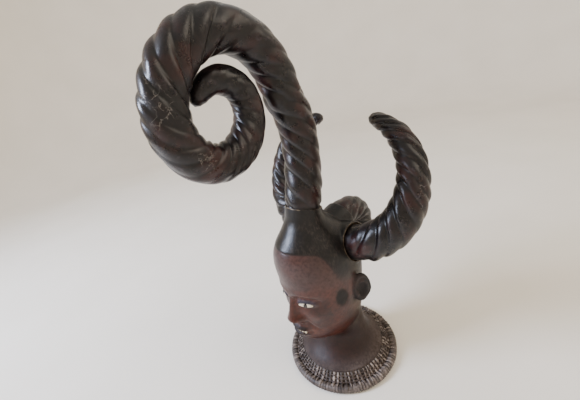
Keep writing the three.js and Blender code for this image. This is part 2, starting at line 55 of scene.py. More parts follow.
base = np.array([(rim_low.x + rim_high.x) / 2, (rim_low.y + rim_high.y) / 2, 0.0])
CAMERA_OFFSET = (337.5, -314.2, 556.4)      # mm from the middle of the rim
CAMERA_HEADING = 52.96                      # degrees, +Y towards -X
CAMERA_PITCH = 23.63
CAMERA_ROLL = 11.87
LENS = 18.62
SENSOR = 36.0

camera_data = bpy.data.cameras.new("camera")
camera_data.lens = LENS
camera_data.sensor_width = SENSOR
camera = bpy.data.objects.new("camera", camera_data)
bpy.context.scene.collection.objects.link(camera)
aim = (Matrix.Rotation(math.radians(CAMERA_HEADING), 4, "Z")
       @ Matrix.Rotation(math.radians(90 - CAMERA_PITCH), 4, "X")
       @ Matrix.Rotation(math.radians(-CAMERA_ROLL), 4, "Z"))
camera.matrix_world = Matrix.Translation(Vector(base) + Vector(CAMERA_OFFSET) * MM) @ aim
bpy.context.scene.camera = camera

# ---- Horns -------------------------------------------------------------------------------------
# Four horns carved from soft wood, each with a round peg in its foot. Wet skin was drawn over the
# carved ropework, tacked, dried and blackened, so the twist shows through it as rounded ridges.


def linear(code):
    """sRGB hex to a linear colour."""
    parts = [int(code[i:i + 2], 16) / 255 for i in (1, 3, 5)]
    return [c / 12.92 if c <= 0.04045 else ((c + 0.055) / 1.055) ** 2.4 for c in parts] + [1.0]


def add(tree, kind, settings=None, **links):
    """One node; settings are properties or unlinked inputs, links are input name to output."""
    made = tree.nodes.new("ShaderNode" + kind)
    for key, value in (settings or {}).items():
        if isinstance(key, int) or key in made.inputs:
            made.inputs[key].default_value = value
        else:
            setattr(made, key, value)
    for key, source in links.items():
        socket = made.inputs[int(key[1:])] if key[0] == "_" else made.inputs[key.replace("_", " ")]
        tree.links.new(source, socket)
    return made


def material(name, roughness=0.5, **settings):
    made = bpy.data.materials.new(name)
    made.use_nodes = True
    tree = made.node_tree
    tree.nodes.clear()
    shader = add(tree, "BsdfPrincipled", {"Roughness": roughness, **settings})
    out = add(tree, "OutputMaterial")
    tree.links.new(shader.outputs[0], out.inputs["Surface"])
    return made, tree, shader


def ramp(tree, source, *stops):
    made = add(tree, "ValToRGB", {}, Fac=source)
    band = made.color_ramp
    while len(band.elements) < len(stops):
        band.elements.new(0.5)
    for element, (place, code) in zip(band.elements, stops):
        element.position = place
        element.color = linear(code)
    return made.outputs["Color"]


def tone(tree, code):
    made = add(tree, "RGB")
    made.outputs[0].default_value = linear(code)
    return made.outputs[0]


def mixed(tree, share, first, second, blend="MIX"):
    made = add(tree, "Mix", {"data_type": "RGBA", "blend_type": blend}, _6=first, _7=second)
    if isinstance(share, float):
        made.inputs[0].default_value = share
    else:
        tree.links.new(share, made.inputs[0])
    return made.outputs[2]


def noise(tree, place, size_mm, detail=3.0, **more):
    return add(tree, "TexNoise", {"Scale": 1000.0 / size_mm, "Detail": detail, **more}, Vector=place)


# Skin over the horns: hide blackened with soot and oil. It is near black with red-brown where the
# stain has worn and pale in the seams that have opened; its grooves get painted shade, and its worn smooth
# patches a painted bluish sheen where they take a polish.
def horn_leather():
    made, tree, shader = material("blackened_hide", 0.34, IOR=1.42)
    place = add(tree, "TexCoord").outputs["Object"]
    relief = add(tree, "Attribute", {"attribute_name": "relief"}).outputs["Fac"]
    seam = add(tree, "Attribute", {"attribute_name": "seam"}).outputs["Fac"]
    patch = noise(tree, place, 34, 4.0).outputs["Fac"]
    base_colour = ramp(tree, patch, (0.36, "#0b0809"), (0.52, "#150e0f"), (0.68, "#2c1513"))
    # Painted shade: the grooves between the ridges are multiplied darker, from the relief attribute.
    ridge = ramp(tree, relief, (0.0, "#2a2526"), (0.5, "#ffffff"))
    colour = mixed(tree, 0.75, base_colour, ridge, "MULTIPLY")
    worn = ramp(tree, noise(tree, place, 7, 5.0).outputs["Fac"], (0.56, "#000000"), (0.72, "#ffffff"))
    high = ramp(tree, relief, (0.7, "#000000"), (1.0, "#ffffff"))
    wear = add(tree, "Math", {"operation": "MULTIPLY"}, _0=worn, _1=high).outputs[0]
    colour = mixed(tree, wear, colour, tone(tree, "#332c30"))
    # Painted sheen: worn smooth patches are mixed towards a pale bluish grey, standing in for the window's
    # reflection on their polish.
    worn_and_sheen = add(tree, "Attribute", {"attribute_name": "worn_and_sheen"}).outputs["Fac"]
    colour = mixed(tree, worn_and_sheen, colour, tone(tree, "#565c64"))
    drift = noise(tree, place, 9, 4.0).outputs["Color"]
    drift = add(tree, "VectorMath", {"operation": "SCALE", "Scale": 0.014}, _0=drift).outputs[0]
    drift = add(tree, "VectorMath", {"operation": "ADD"}, _0=place, _1=drift).outputs[0]
    cells = add(tree, "TexVoronoi", {"feature": "DISTANCE_TO_EDGE", "Scale": 1000.0 / 15}, Vector=drift)
    opened = ramp(tree, cells.outputs["Distance"], (0.004, "#ffffff"), (0.024, "#000000"))
    broken = ramp(tree, noise(tree, place, 6).outputs["Fac"], (0.42, "#000000"), (0.6, "#ffffff"))
    line = add(tree, "Math", {"operation": "MULTIPLY"}, _0=opened, _1=seam).outputs[0]
    line = add(tree, "Math", {"operation": "MULTIPLY"}, _0=line, _1=broken).outputs[0]
    colour = mixed(tree, line, colour, tone(tree, "#77706a"))
    tree.links.new(colour, shader.inputs["Base Color"])
    cloud = noise(tree, place, 11).outputs["Fac"]
    gloss = add(tree, "MapRange", {"To Min": 0.16, "To Max": 0.46}, Value=cloud)
    tree.links.new(gloss.outputs[0], shader.inputs["Roughness"])
    pore = noise(tree, place, 2.2, 4.0).outputs["Fac"]
    crease = noise(tree, place, 9, 3.0).outputs["Fac"]
    height = add(tree, "MapRange", {"To Min": 0.0, "To Max": 0.35}, Value=pore).outputs[0]
    height = add(tree, "Math", {"operation": "ADD"}, _0=height, _1=crease).outputs[0]
    bump = add(tree, "Bump", {"Strength": 0.5, "Distance": 0.0008}, Height=height)
    tree.links.new(bump.outputs[0], shader.inputs["Normal"])
    return made


# Carved wood: pale brown, fine straight grain, matt, as cut.
def carved_wood():
    made, tree, shader = material("carved_softwood", 0.75, IOR=1.45)
    place = add(tree, "TexCoord").outputs["Object"]
    turned = add(tree, "Mapping", {"Scale": (1.0, 1.0, 0.12)}, Vector=place).outputs[0]
    grain = noise(tree, turned, 3.0, 4.0).outputs["Fac"]
    colour = ramp(tree, grain, (0.35, "#4d3d2c"), (0.55, "#6b573f"), (0.7, "#7d684d"))
    tree.links.new(colour, shader.inputs["Base Color"])
    bump = add(tree, "Bump", {"Strength": 0.4, "Distance": 0.0004}, Height=grain)
    tree.links.new(bump.outputs[0], shader.inputs["Normal"])
    return made


HIDE = horn_leather()
WOOD = carved_wood()


def finished(piece, body, look, *nodes):
    """Gives a piece its material, rides it on its body and stands it in for its CAD nodes."""
    piece.data.materials.clear()
    piece.data.materials.append(look)
    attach(piece, body)
    if nodes:
        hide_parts(*nodes)
    return piece


def joint_axis(name):
    return np.array(next(j for j in frame["joints"] if j["name"] == name)["axis"], float)


# each horn's round peg: radius, length in the horn and length in the head, mm
PEGS = {"front_horn": (13, 30, 40), "left_horn": (12, 26, 28), "right_horn": (12, 26, 28),
        "rear_horn": (9, 18, 26)}


def middle_of(node):
    low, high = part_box(node)
    return (np.array(low) + np.array(high)) / 2


def seat_of(name):
    """Middle of a horn's seat, from its peg's box and its joint's axis."""
    radius, in_horn, in_head = PEGS[name]
    return middle_of(name + "_peg") - joint_axis(name + "_pull") * (in_horn - in_head) / 2 * MM


def aimed(direction):
    return Vector(direction).to_track_quat("Z", "Y").to_matrix().to_4x4()


def smooth_path(points, count):
    """Even points on a polyline, and the share of its length at each."""
    lengths = np.r_[0, np.cumsum(np.linalg.norm(np.diff(points, axis=0), axis=1))]
    share = np.linspace(0, 1, count)
    even = np.c_[[np.interp(share * lengths[-1], lengths, points[:, i]) for i in range(3)]].T
    return even, share, lengths[-1]


# front horn: mm from its seat, and degrees
SHAFT_LEAN = 0.33             # back, for each unit up
SHAFT_PULL = 145              # how long the shaft holds its lean
SHAFT_EASE = 6                # and its run into the coil
COIL_CENTRE = (0.0, -93.5, 176.0)
COIL_RADIUS = 100.5
COIL_DECAY = 0.00253          # natural-log shrink for each degree
COIL_TURN = 510
COIL_STRETCH = 1.13           # height over width
COIL_SKEW = 0.067
COIL_SKEW_AT = 30.4
COIL_BOW = -14                # how far its middle leaves the mask's middle plane
TIP_SHIFT = -18


def coil_path(seat):
    """Front horn: a shaft that leans back, then a coil that winds forward and inward."""
    centre = seat + np.array(COIL_CENTRE) * MM
    angle = np.radians(np.linspace(0, COIL_TURN, 400))
    skew = 1 + COIL_SKEW * np.cos(2 * (angle - math.radians(COIL_SKEW_AT)))
    radius = COIL_RADIUS * MM * np.exp(-COIL_DECAY * np.degrees(angle)) * skew
    coil = np.c_[centre[1] + radius * np.cos(angle), centre[2] + COIL_STRETCH * radius * np.sin(angle)]
    lean = np.array([SHAFT_LEAN, 1.0]) / math.hypot(SHAFT_LEAN, 1.0)
    root = seat[1:]
    t = np.linspace(0, 1, 120)[:, None]
    start = coil[0]
    shaft = ((1 - t) ** 3 * root + 3 * (1 - t) ** 2 * t * (root + lean * SHAFT_PULL * MM)
             + 3 * (1 - t) * t ** 2 * (start - np.array([0, SHAFT_EASE * MM])) + t ** 3 * start)
    flat = np.r_[shaft[:-1], coil]
    path, share, length = smooth_path(np.c_[np.zeros(len(flat)), flat], 900)
    bow = np.sin(np.pi * np.minimum(share / 0.8, 1)) ** 2
    tip = np.maximum((share - 0.6) / 0.4, 0) ** 2
    path[:, 0] = seat[0] + (COIL_BOW * bow + TIP_SHIFT * tip) * MM
    return path


def arc_path(seat, radius, start, end, across, up):
    """Arc from a seat, in the plane of two directions."""
    angle = np.radians(np.linspace(start, end, 300))
    first = math.radians(start)
    out = (np.cos(angle) - math.cos(first))[:, None] * np.array(across)
    rise = (np.sin(angle) - math.sin(first))[:, None] * np.array(up)
    return seat + (out + rise) * radius * MM


def frames_along(path):
    """Tangent and two crosswise directions at each point, carried along without twist."""
    tangent = np.gradient(path, axis=0)
    tangent /= np.linalg.norm(tangent, axis=1)[:, None]
    across = np.array([1.0, 0, 0]) if abs(tangent[0, 0]) < 0.9 else np.array([0, 1.0, 0])
    firsts = []
    for direction in tangent:
        across = across - direction * across.dot(direction)
        across /= np.linalg.norm(across)
        firsts.append(across)
    firsts = np.array(firsts)
    return tangent, firsts, np.cross(tangent, firsts)


def chosen(piece):
    bpy.ops.object.select_all(action="DESELECT")
    piece.select_set(True)
    bpy.context.view_layer.objects.active = piece


def column(name, around, rings):
    """Cylinder of unit radius and height, its wall cut across twice over: rings are two counts."""
    bpy.ops.object.select_all(action="DESELECT")
    bpy.ops.mesh.primitive_cylinder_add(vertices=around, radius=1, depth=1, end_fill_type="TRIFAN")
    piece = bpy.context.object
    piece.name = piece.data.name = name
    for cuts in rings:
        bpy.ops.object.mode_set(mode="EDIT")
        bpy.ops.mesh.select_mode(type="EDGE")
        bpy.ops.mesh.select_all(action="DESELECT")
        bpy.ops.object.mode_set(mode="OBJECT")
        corners = points_of(piece)
        ends = np.empty(len(piece.data.edges) * 2, int)
        piece.data.edges.foreach_get("vertices", ends)
        first, second = corners[ends[::2]], corners[ends[1::2]]
        upright = (np.abs(first[:, 2] - second[:, 2]) > 1e-6) & (np.abs(first - second)[:, :2].max(1) < 1e-5)
        piece.data.edges.foreach_set("select", upright)
        bpy.ops.object.mode_set(mode="EDIT")
        bpy.ops.mesh.subdivide(number_cuts=cuts - 1)
        bpy.ops.object.mode_set(mode="OBJECT")
    return piece


def points_of(piece):
    flat = np.empty(len(piece.data.vertices) * 3)
    piece.data.vertices.foreach_get("co", flat)
    return flat.reshape(-1, 3)


def move_points(piece, points):
    piece.data.vertices.foreach_set("co", np.ascontiguousarray(points, dtype=float).ravel())
    piece.data.update()


def paint(piece, name, values):
    layer = piece.data.attributes.new(name, "FLOAT", "POINT")
    layer.data.foreach_set("value", np.ascontiguousarray(values, dtype=float))


def step(value, edge, width):
    return 1 / (1 + np.exp(-np.clip((value - edge) / width, -60, 60)))


def waves(seed, *coordinates):
    """Soft unevenness from a few sines of fixed phase, about -1 to 1."""
    random = np.random.default_rng(seed)
    total = 0
    for turn in range(5):
        phase = random.uniform(0, 6.28)
        rates = random.uniform(0.6, 1.8, len(coordinates)) * random.choice([-1, 1], len(coordinates))
        total = total + np.sin(phase + sum(r * c for r, c in zip(rates, coordinates)))
    return total / 2.4


def horn(name, path, foot, taper, inset, around, rings, twist, seams=(), worn_and_sheen_spots=()):
    """Round bar on a path. twist gives the ropework: ridges around, spacing and depth in mm.

    seams are opened cracks, and the second list marks worn smooth patches painted with a bluish sheen; each
    spot is a share of the length, a turn around, and its reach in both.
    """
    piece = column(name, around, rings)
    unit = points_of(piece)
    share = unit[:, 2] + 0.5
    angle = np.arctan2(unit[:, 1], unit[:, 0])
    middle = np.hypot(unit[:, 0], unit[:, 1]) < 0.5
    # rings crowd towards the tip so that it rounds over
    share = 1 - (1 - share) ** 1.08
    tangent, first, second = frames_along(path)
    steps = np.linspace(0, 1, len(path))
    at = np.c_[[np.interp(share, steps, path[:, i]) for i in range(3)]].T
    across = np.c_[[np.interp(share, steps, first[:, i]) for i in range(3)]].T
    third = np.c_[[np.interp(share, steps, second[:, i]) for i in range(3)]].T
    along = np.c_[[np.interp(share, steps, tangent[:, i]) for i in range(3)]].T
    length = np.linalg.norm(np.diff(path, axis=0), axis=1).sum() / MM
    radius = foot * np.interp(share, [s for s, r in taper], [r for s, r in taper])
    gaps = np.interp(steps, *zip(*twist["spacing"]))
    turns = np.interp(share, steps, np.r_[0, np.cumsum(1 / gaps[1:])] * length / (len(path) - 1))
    wander = 0.16 * waves(twist["seed"], share * length / 24, np.cos(angle) * 1.5, np.sin(angle))
    phase = turns + wander + twist["starts"] * angle / (2 * np.pi)
    place = phase - np.floor(phase) - 0.5
    place = place + 0.14 * (1 - 4 * place ** 2)
    relief = 1 - np.abs(2 * place) ** 2.1
    depth = np.interp(share, *zip(*twist["depth"]))
    depth = depth * (1 + 0.35 * waves(twist["seed"] + 1, share * length / 40, np.sin(angle) * 2))
    bend = np.gradient(tangent, axis=0)
    bend /= np.maximum(np.linalg.norm(bend, axis=1), 1e-9)[:, None]
    inner = np.c_[[np.interp(share, steps, bend[:, i]) for i in range(3)]].T
    outside = -(inner * (across * np.cos(angle)[:, None] + third * np.sin(angle)[:, None])).sum(1)
    depth = np.maximum(depth, 0) * (1 - 0.22 * np.clip(outside, 0, 1))
    radius = radius + depth * (relief - 0.72)
    shown = 1 - (1 - relief) * np.clip(depth / 1.6, 0, 1)
    dents = waves(twist["seed"] + 2, share * length / 9, 3 * np.cos(angle), 3 * np.sin(angle))
    radius = radius + 0.35 * dents
    radius = np.where(middle, 0, radius - inset)
    end_lift = np.where(middle & (share > 0.5), foot * taper[-1][1] * 0.45 - inset, 0)
    outward = across * np.cos(angle)[:, None] + third * np.sin(angle)[:, None]
    move_points(piece, at + outward * radius[:, None] * MM + along * end_lift[:, None] * MM)
    # relief is 1 on the ridges' crests and 0 in the grooves; the hide's material paints shade in the grooves
    # from it, and wear on the crests.
    paint(piece, "relief", shown)
    # The first list marks opened seams; the second marks worn smooth patches that get a painted bluish
    # sheen.
    for kind, spots in (("seam", seams), ("worn_and_sheen", worn_and_sheen_spots)):
        worn = np.zeros(len(unit))
        for at_share, at_turn, share_reach, turn_reach in spots:
            off = (angle / (2 * np.pi) - at_turn + 0.5) % 1 - 0.5
            ragged = 0.25 * waves(twist["seed"] + 3, share * length / 12, np.sin(angle) * 3)
            far = np.hypot((share - at_share) / share_reach, off / turn_reach)
            worn = np.maximum(worn, 0.8 * step(-far, -0.9 + ragged, 0.1))
        paint(piece, kind, worn)
    return piece


def open_foot(piece, seat, axis, wall):
    """Takes the foot's end off a sleeve and gives the rest its thickness, inward."""
    mesh = bmesh.new()
    mesh.from_mesh(piece.data)
    lost = [v for v in mesh.verts if abs((np.array(v.co) - seat) @ axis) < 0.05 * MM and
            np.linalg.norm(np.array(v.co) - seat) < 2 * MM]
    bmesh.ops.delete(mesh, geom=lost, context="VERTS")
    mesh.to_mesh(piece.data)
    mesh.free()
    chosen(piece)
    sheet = piece.modifiers.new("skin", "SOLIDIFY")
    sheet.thickness = wall * MM
    sheet.offset = -1
    bpy.ops.object.modifier_apply(modifier="skin")
    return piece


SKIN = 1.2                    # mm of hide
HORN_FIT = 1.9                # wood under the hide's outer face
SKIN_EDGE = 0.5               # how far the hide stays off the seat
SIDE_ARC = 102                # radius of a side horn's curve
REAR_ARC = 43
FRONT_TAPER = [(0, 0.9), (0.009, 0.905), (0.02, 0.975), (0.1, 0.95), (0.7, 0.87), (0.94, 0.6),
               (0.975, 0.46), (0.99, 0.36), (1, 0.2)]
SIDE_TAPER = [(0, 0.95), (0.09, 0.96), (0.12, 1.0), (0.2, 0.97), (0.4, 0.85), (0.8, 0.55),
              (0.96, 0.36), (0.985, 0.27), (1, 0.14)]
REAR_TAPER = [(0, 1), (0.3, 0.93), (0.6, 0.8), (0.85, 0.66), (0.96, 0.44), (1, 0.2)]
LEAN = math.radians(20)
UP_LEAN = [0, math.sin(LEAN), math.cos(LEAN)]

front_seat, left_seat, right_seat, rear_seat = (seat_of(name) for name in PEGS)

HORNS = {
    "front_horn": dict(
        path=coil_path(front_seat), foot=30, taper=FRONT_TAPER, around=96, rings=(24, 20),
        seams=[(0.6, 0.12, 0.035, 0.14), (0.7, 0.0, 0.02, 0.1)],
        worn_and_sheen_spots=[(0.4, 0.22, 0.055, 0.13)],
        twist=dict(starts=6, seed=3, spacing=[(0, 26), (0.25, 28), (0.52, 29), (0.66, 19), (1, 13)],
                   depth=[(0, 1.8), (0.2, 2.6), (0.3, 2.2), (0.36, 0.9), (0.41, 0.8), (0.46, 4.2),
                          (0.56, 4.0), (0.63, 1.8), (0.76, 1.5), (0.88, 0.8), (1, 0)])),
    "left_horn": dict(
        path=arc_path(left_seat, SIDE_ARC, -82, 80, [1, 0, 0], UP_LEAN), foot=31, taper=SIDE_TAPER,
        around=104, rings=(20, 12), worn_and_sheen_spots=[],
        seams=[(0.52, 0.66, 0.12, 0.07)],
        twist=dict(starts=6, seed=8, spacing=[(0, 26), (0.3, 25), (1, 17)],
                   depth=[(0, 0), (0.05, 0.3), (0.12, 3.4), (0.5, 3.6), (0.9, 2.6), (1, 0)])),
    "right_horn": dict(
        path=arc_path(right_seat, SIDE_ARC, -82, 85, [-1, 0, 0], UP_LEAN), foot=31, taper=SIDE_TAPER,
        around=104, rings=(20, 12), worn_and_sheen_spots=[], seams=[],
        twist=dict(starts=6, seed=14, spacing=[(0, 26), (0.3, 25), (1, 17)],
                   depth=[(0, 0), (0.05, 0.3), (0.12, 3.4), (0.5, 3.6), (0.9, 2.6), (1, 0)])),
    "rear_horn": dict(
        path=arc_path(rear_seat, REAR_ARC, 115, -62, [0, 1, 0], [0, 0, 1]), foot=26, taper=REAR_TAPER,
        around=96, rings=(12, 10), worn_and_sheen_spots=[], seams=[],
        twist=dict(starts=6, seed=21, spacing=[(0, 25), (1, 17)],
                   depth=[(0, 0.8), (0.2, 2.2), (0.9, 2.0), (1, 0)])),
}

for horn_name, shape in HORNS.items():
    path = shape["path"]
    axis = joint_axis(horn_name + "_pull")
    core = horn(horn_name + "_wood", path, shape["foot"], shape["taper"], HORN_FIT,
                shape["around"] * 2 // 3, shape["rings"], shape["twist"])
    finished(core, horn_name, WOOD, horn_name + "_core")
    length = np.linalg.norm(np.diff(path, axis=0), axis=1).sum()
    first = int(SKIN_EDGE * MM / length * len(path)) + 1
    sleeve = horn(horn_name + "_hide", path[first:], shape["foot"], shape["taper"], 0,
                  shape["around"], shape["rings"], shape["twist"], shape["seams"], shape["worn_and_sheen_spots"])
    open_foot(sleeve, path[first], axis, SKIN)
    bpy.ops.object.shade_smooth()
    finished(sleeve, horn_name, HIDE, horn_name + "_skin")
    dowel = column(horn_name + "_dowel", 14, (24,))
    unit = points_of(dowel)
    reach, in_horn, in_head = PEGS[horn_name]
    ends = np.minimum(1, 0.8 + 5 * np.minimum(unit[:, 2] + 0.5, 0.5 - unit[:, 2]))
    pared = 1 - 0.03 * np.abs(waves(31, np.arctan2(unit[:, 1], unit[:, 0]) * 3, unit[:, 2] * 9))
    unit[:, :2] *= (reach * ends * pared)[:, None] * MM
    unit[:, 2] *= (in_horn + in_head) * MM
    move_points(dowel, unit)
    dowel.data.transform(Matrix.Translation(Vector(middle_of(horn_name + "_peg"))) @ aimed(axis))
    finished(dowel, horn_name, WOOD, horn_name + "_peg")

# ---- Head --------------------------------------------------------------------------------------
# A head and neck carved from one block, foot flared like a trumpet to stand on the basketry.
# Skin was drawn over it wet, so every form is soft-edged; its face is a plain, calm one laid out
# by thirds: hairline to brow, brow to nose, nose to chin.
CHIN = 90.0                   # heights above the table, mm
CROWN = 345.0
HALF_WIDTH = 67.0
HALF_DEPTH = 86.0
CENTRE = -21.0                # ahead of the middle of the rim
HAIRLINE = CHIN + 0.77 * (CROWN - CHIN)
THIRD = (HAIRLINE - CHIN) / 3
EYE_LINE = CHIN + 1.68 * THIRD
NOSE_BASE = CHIN + THIRD
MOUTH_LINE = CHIN + 0.66 * THIRD
EYE_X = HALF_WIDTH * 0.4
FOOT = 82.0                   # radius of the flared foot, and of the neck
NECK = 48.0
CAP_FACE = 24.58              # height of the basket cap at the foot
CAP_TOP = 48.0
EDGE = (96.7, 9.35)           # radius and height of the cap's edge, under the woven band
SLOPE = math.radians(46)      # of the band
# height, half width, and front and back reach from the head's centre
SECTIONS = [
    (0.04, 0.66, 0.70, 0.88), (0.10, 0.78, 0.80, 0.86), (0.18, 0.86, 0.84, 0.88),
    (0.28, 0.92, 0.87, 0.86), (0.38, 0.97, 0.89, 0.88), (0.48, 1.00, 0.92, 0.91),
    (0.58, 1.00, 0.97, 0.93), (0.68, 0.96, 1.00, 0.88), (0.76, 0.87, 0.98, 0.77),
    (0.82, 0.74, 0.90, 0.62), (0.87, 0.62, 0.76, 0.42), (0.92, 0.52, 0.64, 0.24),
]
COLLAR_LIP = 5.0              # of a collar's radius over its horn's foot
COLLAR_STAND = 5.0            # of a collar past its seat
SEAT_GAP = 0.5
FRONT_LIP = 5.5               # how far the skin stands up round the front horn's foot
# seat, joint, radius of the horn's foot, room round it, radius of its peg
SEATS = [
    (front_seat, "front_horn_pull", 27.5, 0.3, 13), (left_seat, "left_horn_pull", 31, 1.0, 12),
    (right_seat, "right_horn_pull", 31, 1.0, 12), (rear_seat, "rear_horn_pull", 26, 1.0, 9),
]


def head_rings():
    """Rows of height, centre, half width and half depth, from the foot to the crown."""
    rows = [(0.0, 0.0, FOOT, FOOT), (CAP_FACE, 0.0, FOOT, FOOT)]
    for t in np.linspace(0, 1, 12):
        radius = NECK + (FOOT - NECK) * (1 - t) ** 2.6
        rows.append((CAP_FACE + 2 + (CHIN - CAP_FACE - 5) * t, 4 * t, radius, radius))
    for share, width, front, back in SECTIONS:
        rows.append((CHIN + share * (CROWN - CHIN), CENTRE + (back - front) / 2 * HALF_DEPTH,
                     width * HALF_WIDTH, (front + back) / 2 * HALF_DEPTH))
    rows.append((CROWN - 9, -38.0, 31.0, 31.0))
    rows.append((CROWN + 4, -37.0, 29.5, 29.5))
    rows.append((CROWN + 24, -30.5, 29.3, 29.3))
    return np.array(rows)


def smoothed(values, times, keep):
    for _ in range(times):
        soft = values.copy()
        soft[1:-1] = (values[:-2] + 2 * values[1:-1] + values[2:]) / 4
        soft[:keep] = values[:keep]
        values = soft
    return values


RINGS = head_rings()
RING_AT = np.linspace(RINGS[0, 0], RINGS[-1, 0], 400)
RING_TABLE = [smoothed(np.interp(RING_AT, RINGS[:, 0], RINGS[:, i]), 60, 34) for i in (1, 2, 3)]


def ring_at(height):
    return [np.interp(height, RING_AT, values) for values in RING_TABLE]


def face_y(x, height):
    centre, half_width, half_depth = ring_at(height)
    return centre - half_depth * np.sqrt(np.maximum(1 - (x / half_width) ** 2, 0))


def bump(value, middle, width, power=2):
    return np.exp(-np.abs((value - middle) / width) ** power)


def large_forms(x, z):
    """How far brow, sockets, nose, cheeks, mouth and chin stand out from the egg of the head."""
    x = np.abs(x)
    lift = 3.2 * bump(z, EYE_LINE + 20 - 0.004 * (x - 24) ** 2, 8) * bump(x, 24, 24, 4)
    lift -= 6.0 * bump(x, EYE_X, 18) * bump(z, EYE_LINE + 2, 13)
    lift += 4.0 * bump(x, 42, 15) * bump(z, EYE_LINE - 25, 15)
    lift -= 2.5 * bump(x, 36, 12) * bump(z, MOUTH_LINE + 2, 18)
    down = np.clip((EYE_LINE + 14 - z) / (EYE_LINE + 14 - NOSE_BASE - 5), 0, 1)
    bridge = (3.0 + 17.0 * down ** 1.25) * step(z, NOSE_BASE + 2, 1.6) * step(-z, -EYE_LINE - 16, 5)
    lift += bridge * bump(x, 0, 5.5 + 5.0 * down, 2.6)
    lift += 9.0 * bump(np.hypot((x - 12.5) / 1.0, (z - NOSE_BASE - 8) / 1.1), 0, 6.8, 3)
    lift += 7.5 * bump(x, 0, 25, 2.6) * bump(z, MOUTH_LINE, 16, 2.6)
    lift += 6.5 * bump(x, 0, 20) * bump(z, CHIN + 16, 12)
    return lift


def fine_forms(x, z):
    """Lids, lips and folds, pressed into the skin."""
    side = np.abs(x)
    eye = np.hypot((side - EYE_X) / 13.2, (z - EYE_LINE + 1.2) / 5.2)
    above = step(z, EYE_LINE, 1.5)
    lid = np.hypot((side - EYE_X) / 15, (z - EYE_LINE - 2.5) / 9.5)
    lift = 5.4 * bump(lid, 0, 1.0, 4)
    lift += (1.2 + 0.9 * above) * bump(eye, 1.12, 0.2, 2)
    lift -= 1.5 * bump(lid, 1.22, 0.17) * above
    arch = 1.4 * bump(side, 5, 4) - 0.012 * side ** 2
    lift += 4.4 * bump(z, MOUTH_LINE + 6.6 + arch * 0.8, 3.4) * bump(side, 0, 20, 5)
    lift += 4.8 * bump(z, MOUTH_LINE - 7.2 + 0.012 * side ** 2, 3.9) * bump(side, 0, 17.5, 5)
    lift -= 2.4 * bump(z, MOUTH_LINE, 2.4) * bump(side, 0, 21, 8)
    lift -= 1.6 * bump(side, 23, 3.2) * bump(z, MOUTH_LINE, 4)
    lift -= 1.3 * bump(side, 0, 2.6) * bump(z, NOSE_BASE - 8, 6)
    lift -= 2.0 * bump(z, MOUTH_LINE - 17, 4.5) * bump(side, 0, 16, 4)
    lift -= 1.5 * bump(side - 0.55 * (NOSE_BASE + 8 - z), 18, 2.6) * bump(z, NOSE_BASE - 6, 14, 4)
    lift -= 2.6 * bump(np.hypot((side - 8.5) / 3.4, (z - NOSE_BASE - 1.5) / 2.2), 0, 1, 2)
    return lift


def front_share(points):
    """How much a point faces forward, 0 to 1."""
    centre, half_width, half_depth = ring_at(points[:, 2])
    off = np.clip(np.abs(points[:, 0]) / half_width, 0, 1)
    return step(centre - points[:, 1], 4, 5) * (1 - off ** 6)


def local(points):
    """Scene metres to the mask's own millimetres, from the middle of the rim."""
    return (points - base) / MM


def scene(points):
    return points * MM + base


def joined(name, pieces):
    bpy.ops.object.select_all(action="DESELECT")
    for piece in pieces:
        piece.select_set(True)
    bpy.context.view_layer.objects.active = pieces[0]
    bpy.ops.object.join()
    pieces[0].name = pieces[0].data.name = name
    return pieces[0]


def applied(piece, kind, **settings):
    chosen(piece)
    made = piece.modifiers.new("made", kind)
    for key, value in settings.items():
        setattr(made, key, value)
    bpy.ops.object.modifier_apply(modifier=made.name)
    return piece


def rod(name, point, direction, start, end, radius, vertices=64, tip=None):
    """Cylinder or cone along a direction from a scene point; lengths in mm."""
    bpy.ops.object.select_all(action="DESELECT")
    bpy.ops.mesh.primitive_cone_add(vertices=vertices, radius1=radius * MM,
                                    radius2=(radius if tip is None else tip) * MM,
                                    depth=(end - start) * MM, end_fill_type="NGON")
    piece = bpy.context.object
    piece.name = name
    middle = np.array(point) + np.array(direction) * (start + end) / 2 * MM
    piece.data.transform(Matrix.Translation(Vector(middle)) @ aimed(direction))
    return piece


def ball(name, centre, radii, segments=32):
    bpy.ops.object.select_all(action="DESELECT")
    bpy.ops.mesh.primitive_uv_sphere_add(segments=segments, ring_count=segments // 2, radius=1)
    piece = bpy.context.object
    piece.name = name
    move_points(piece, scene(points_of(piece) * np.array(radii) + np.array(centre)))
    return piece


def outward(piece):
    """Turns a closed piece's faces to point out."""
    chosen(piece)
    bpy.ops.object.mode_set(mode="EDIT")
    bpy.ops.mesh.select_all(action="SELECT")
    bpy.ops.mesh.normals_make_consistent(inside=False)
    bpy.ops.object.mode_set(mode="OBJECT")


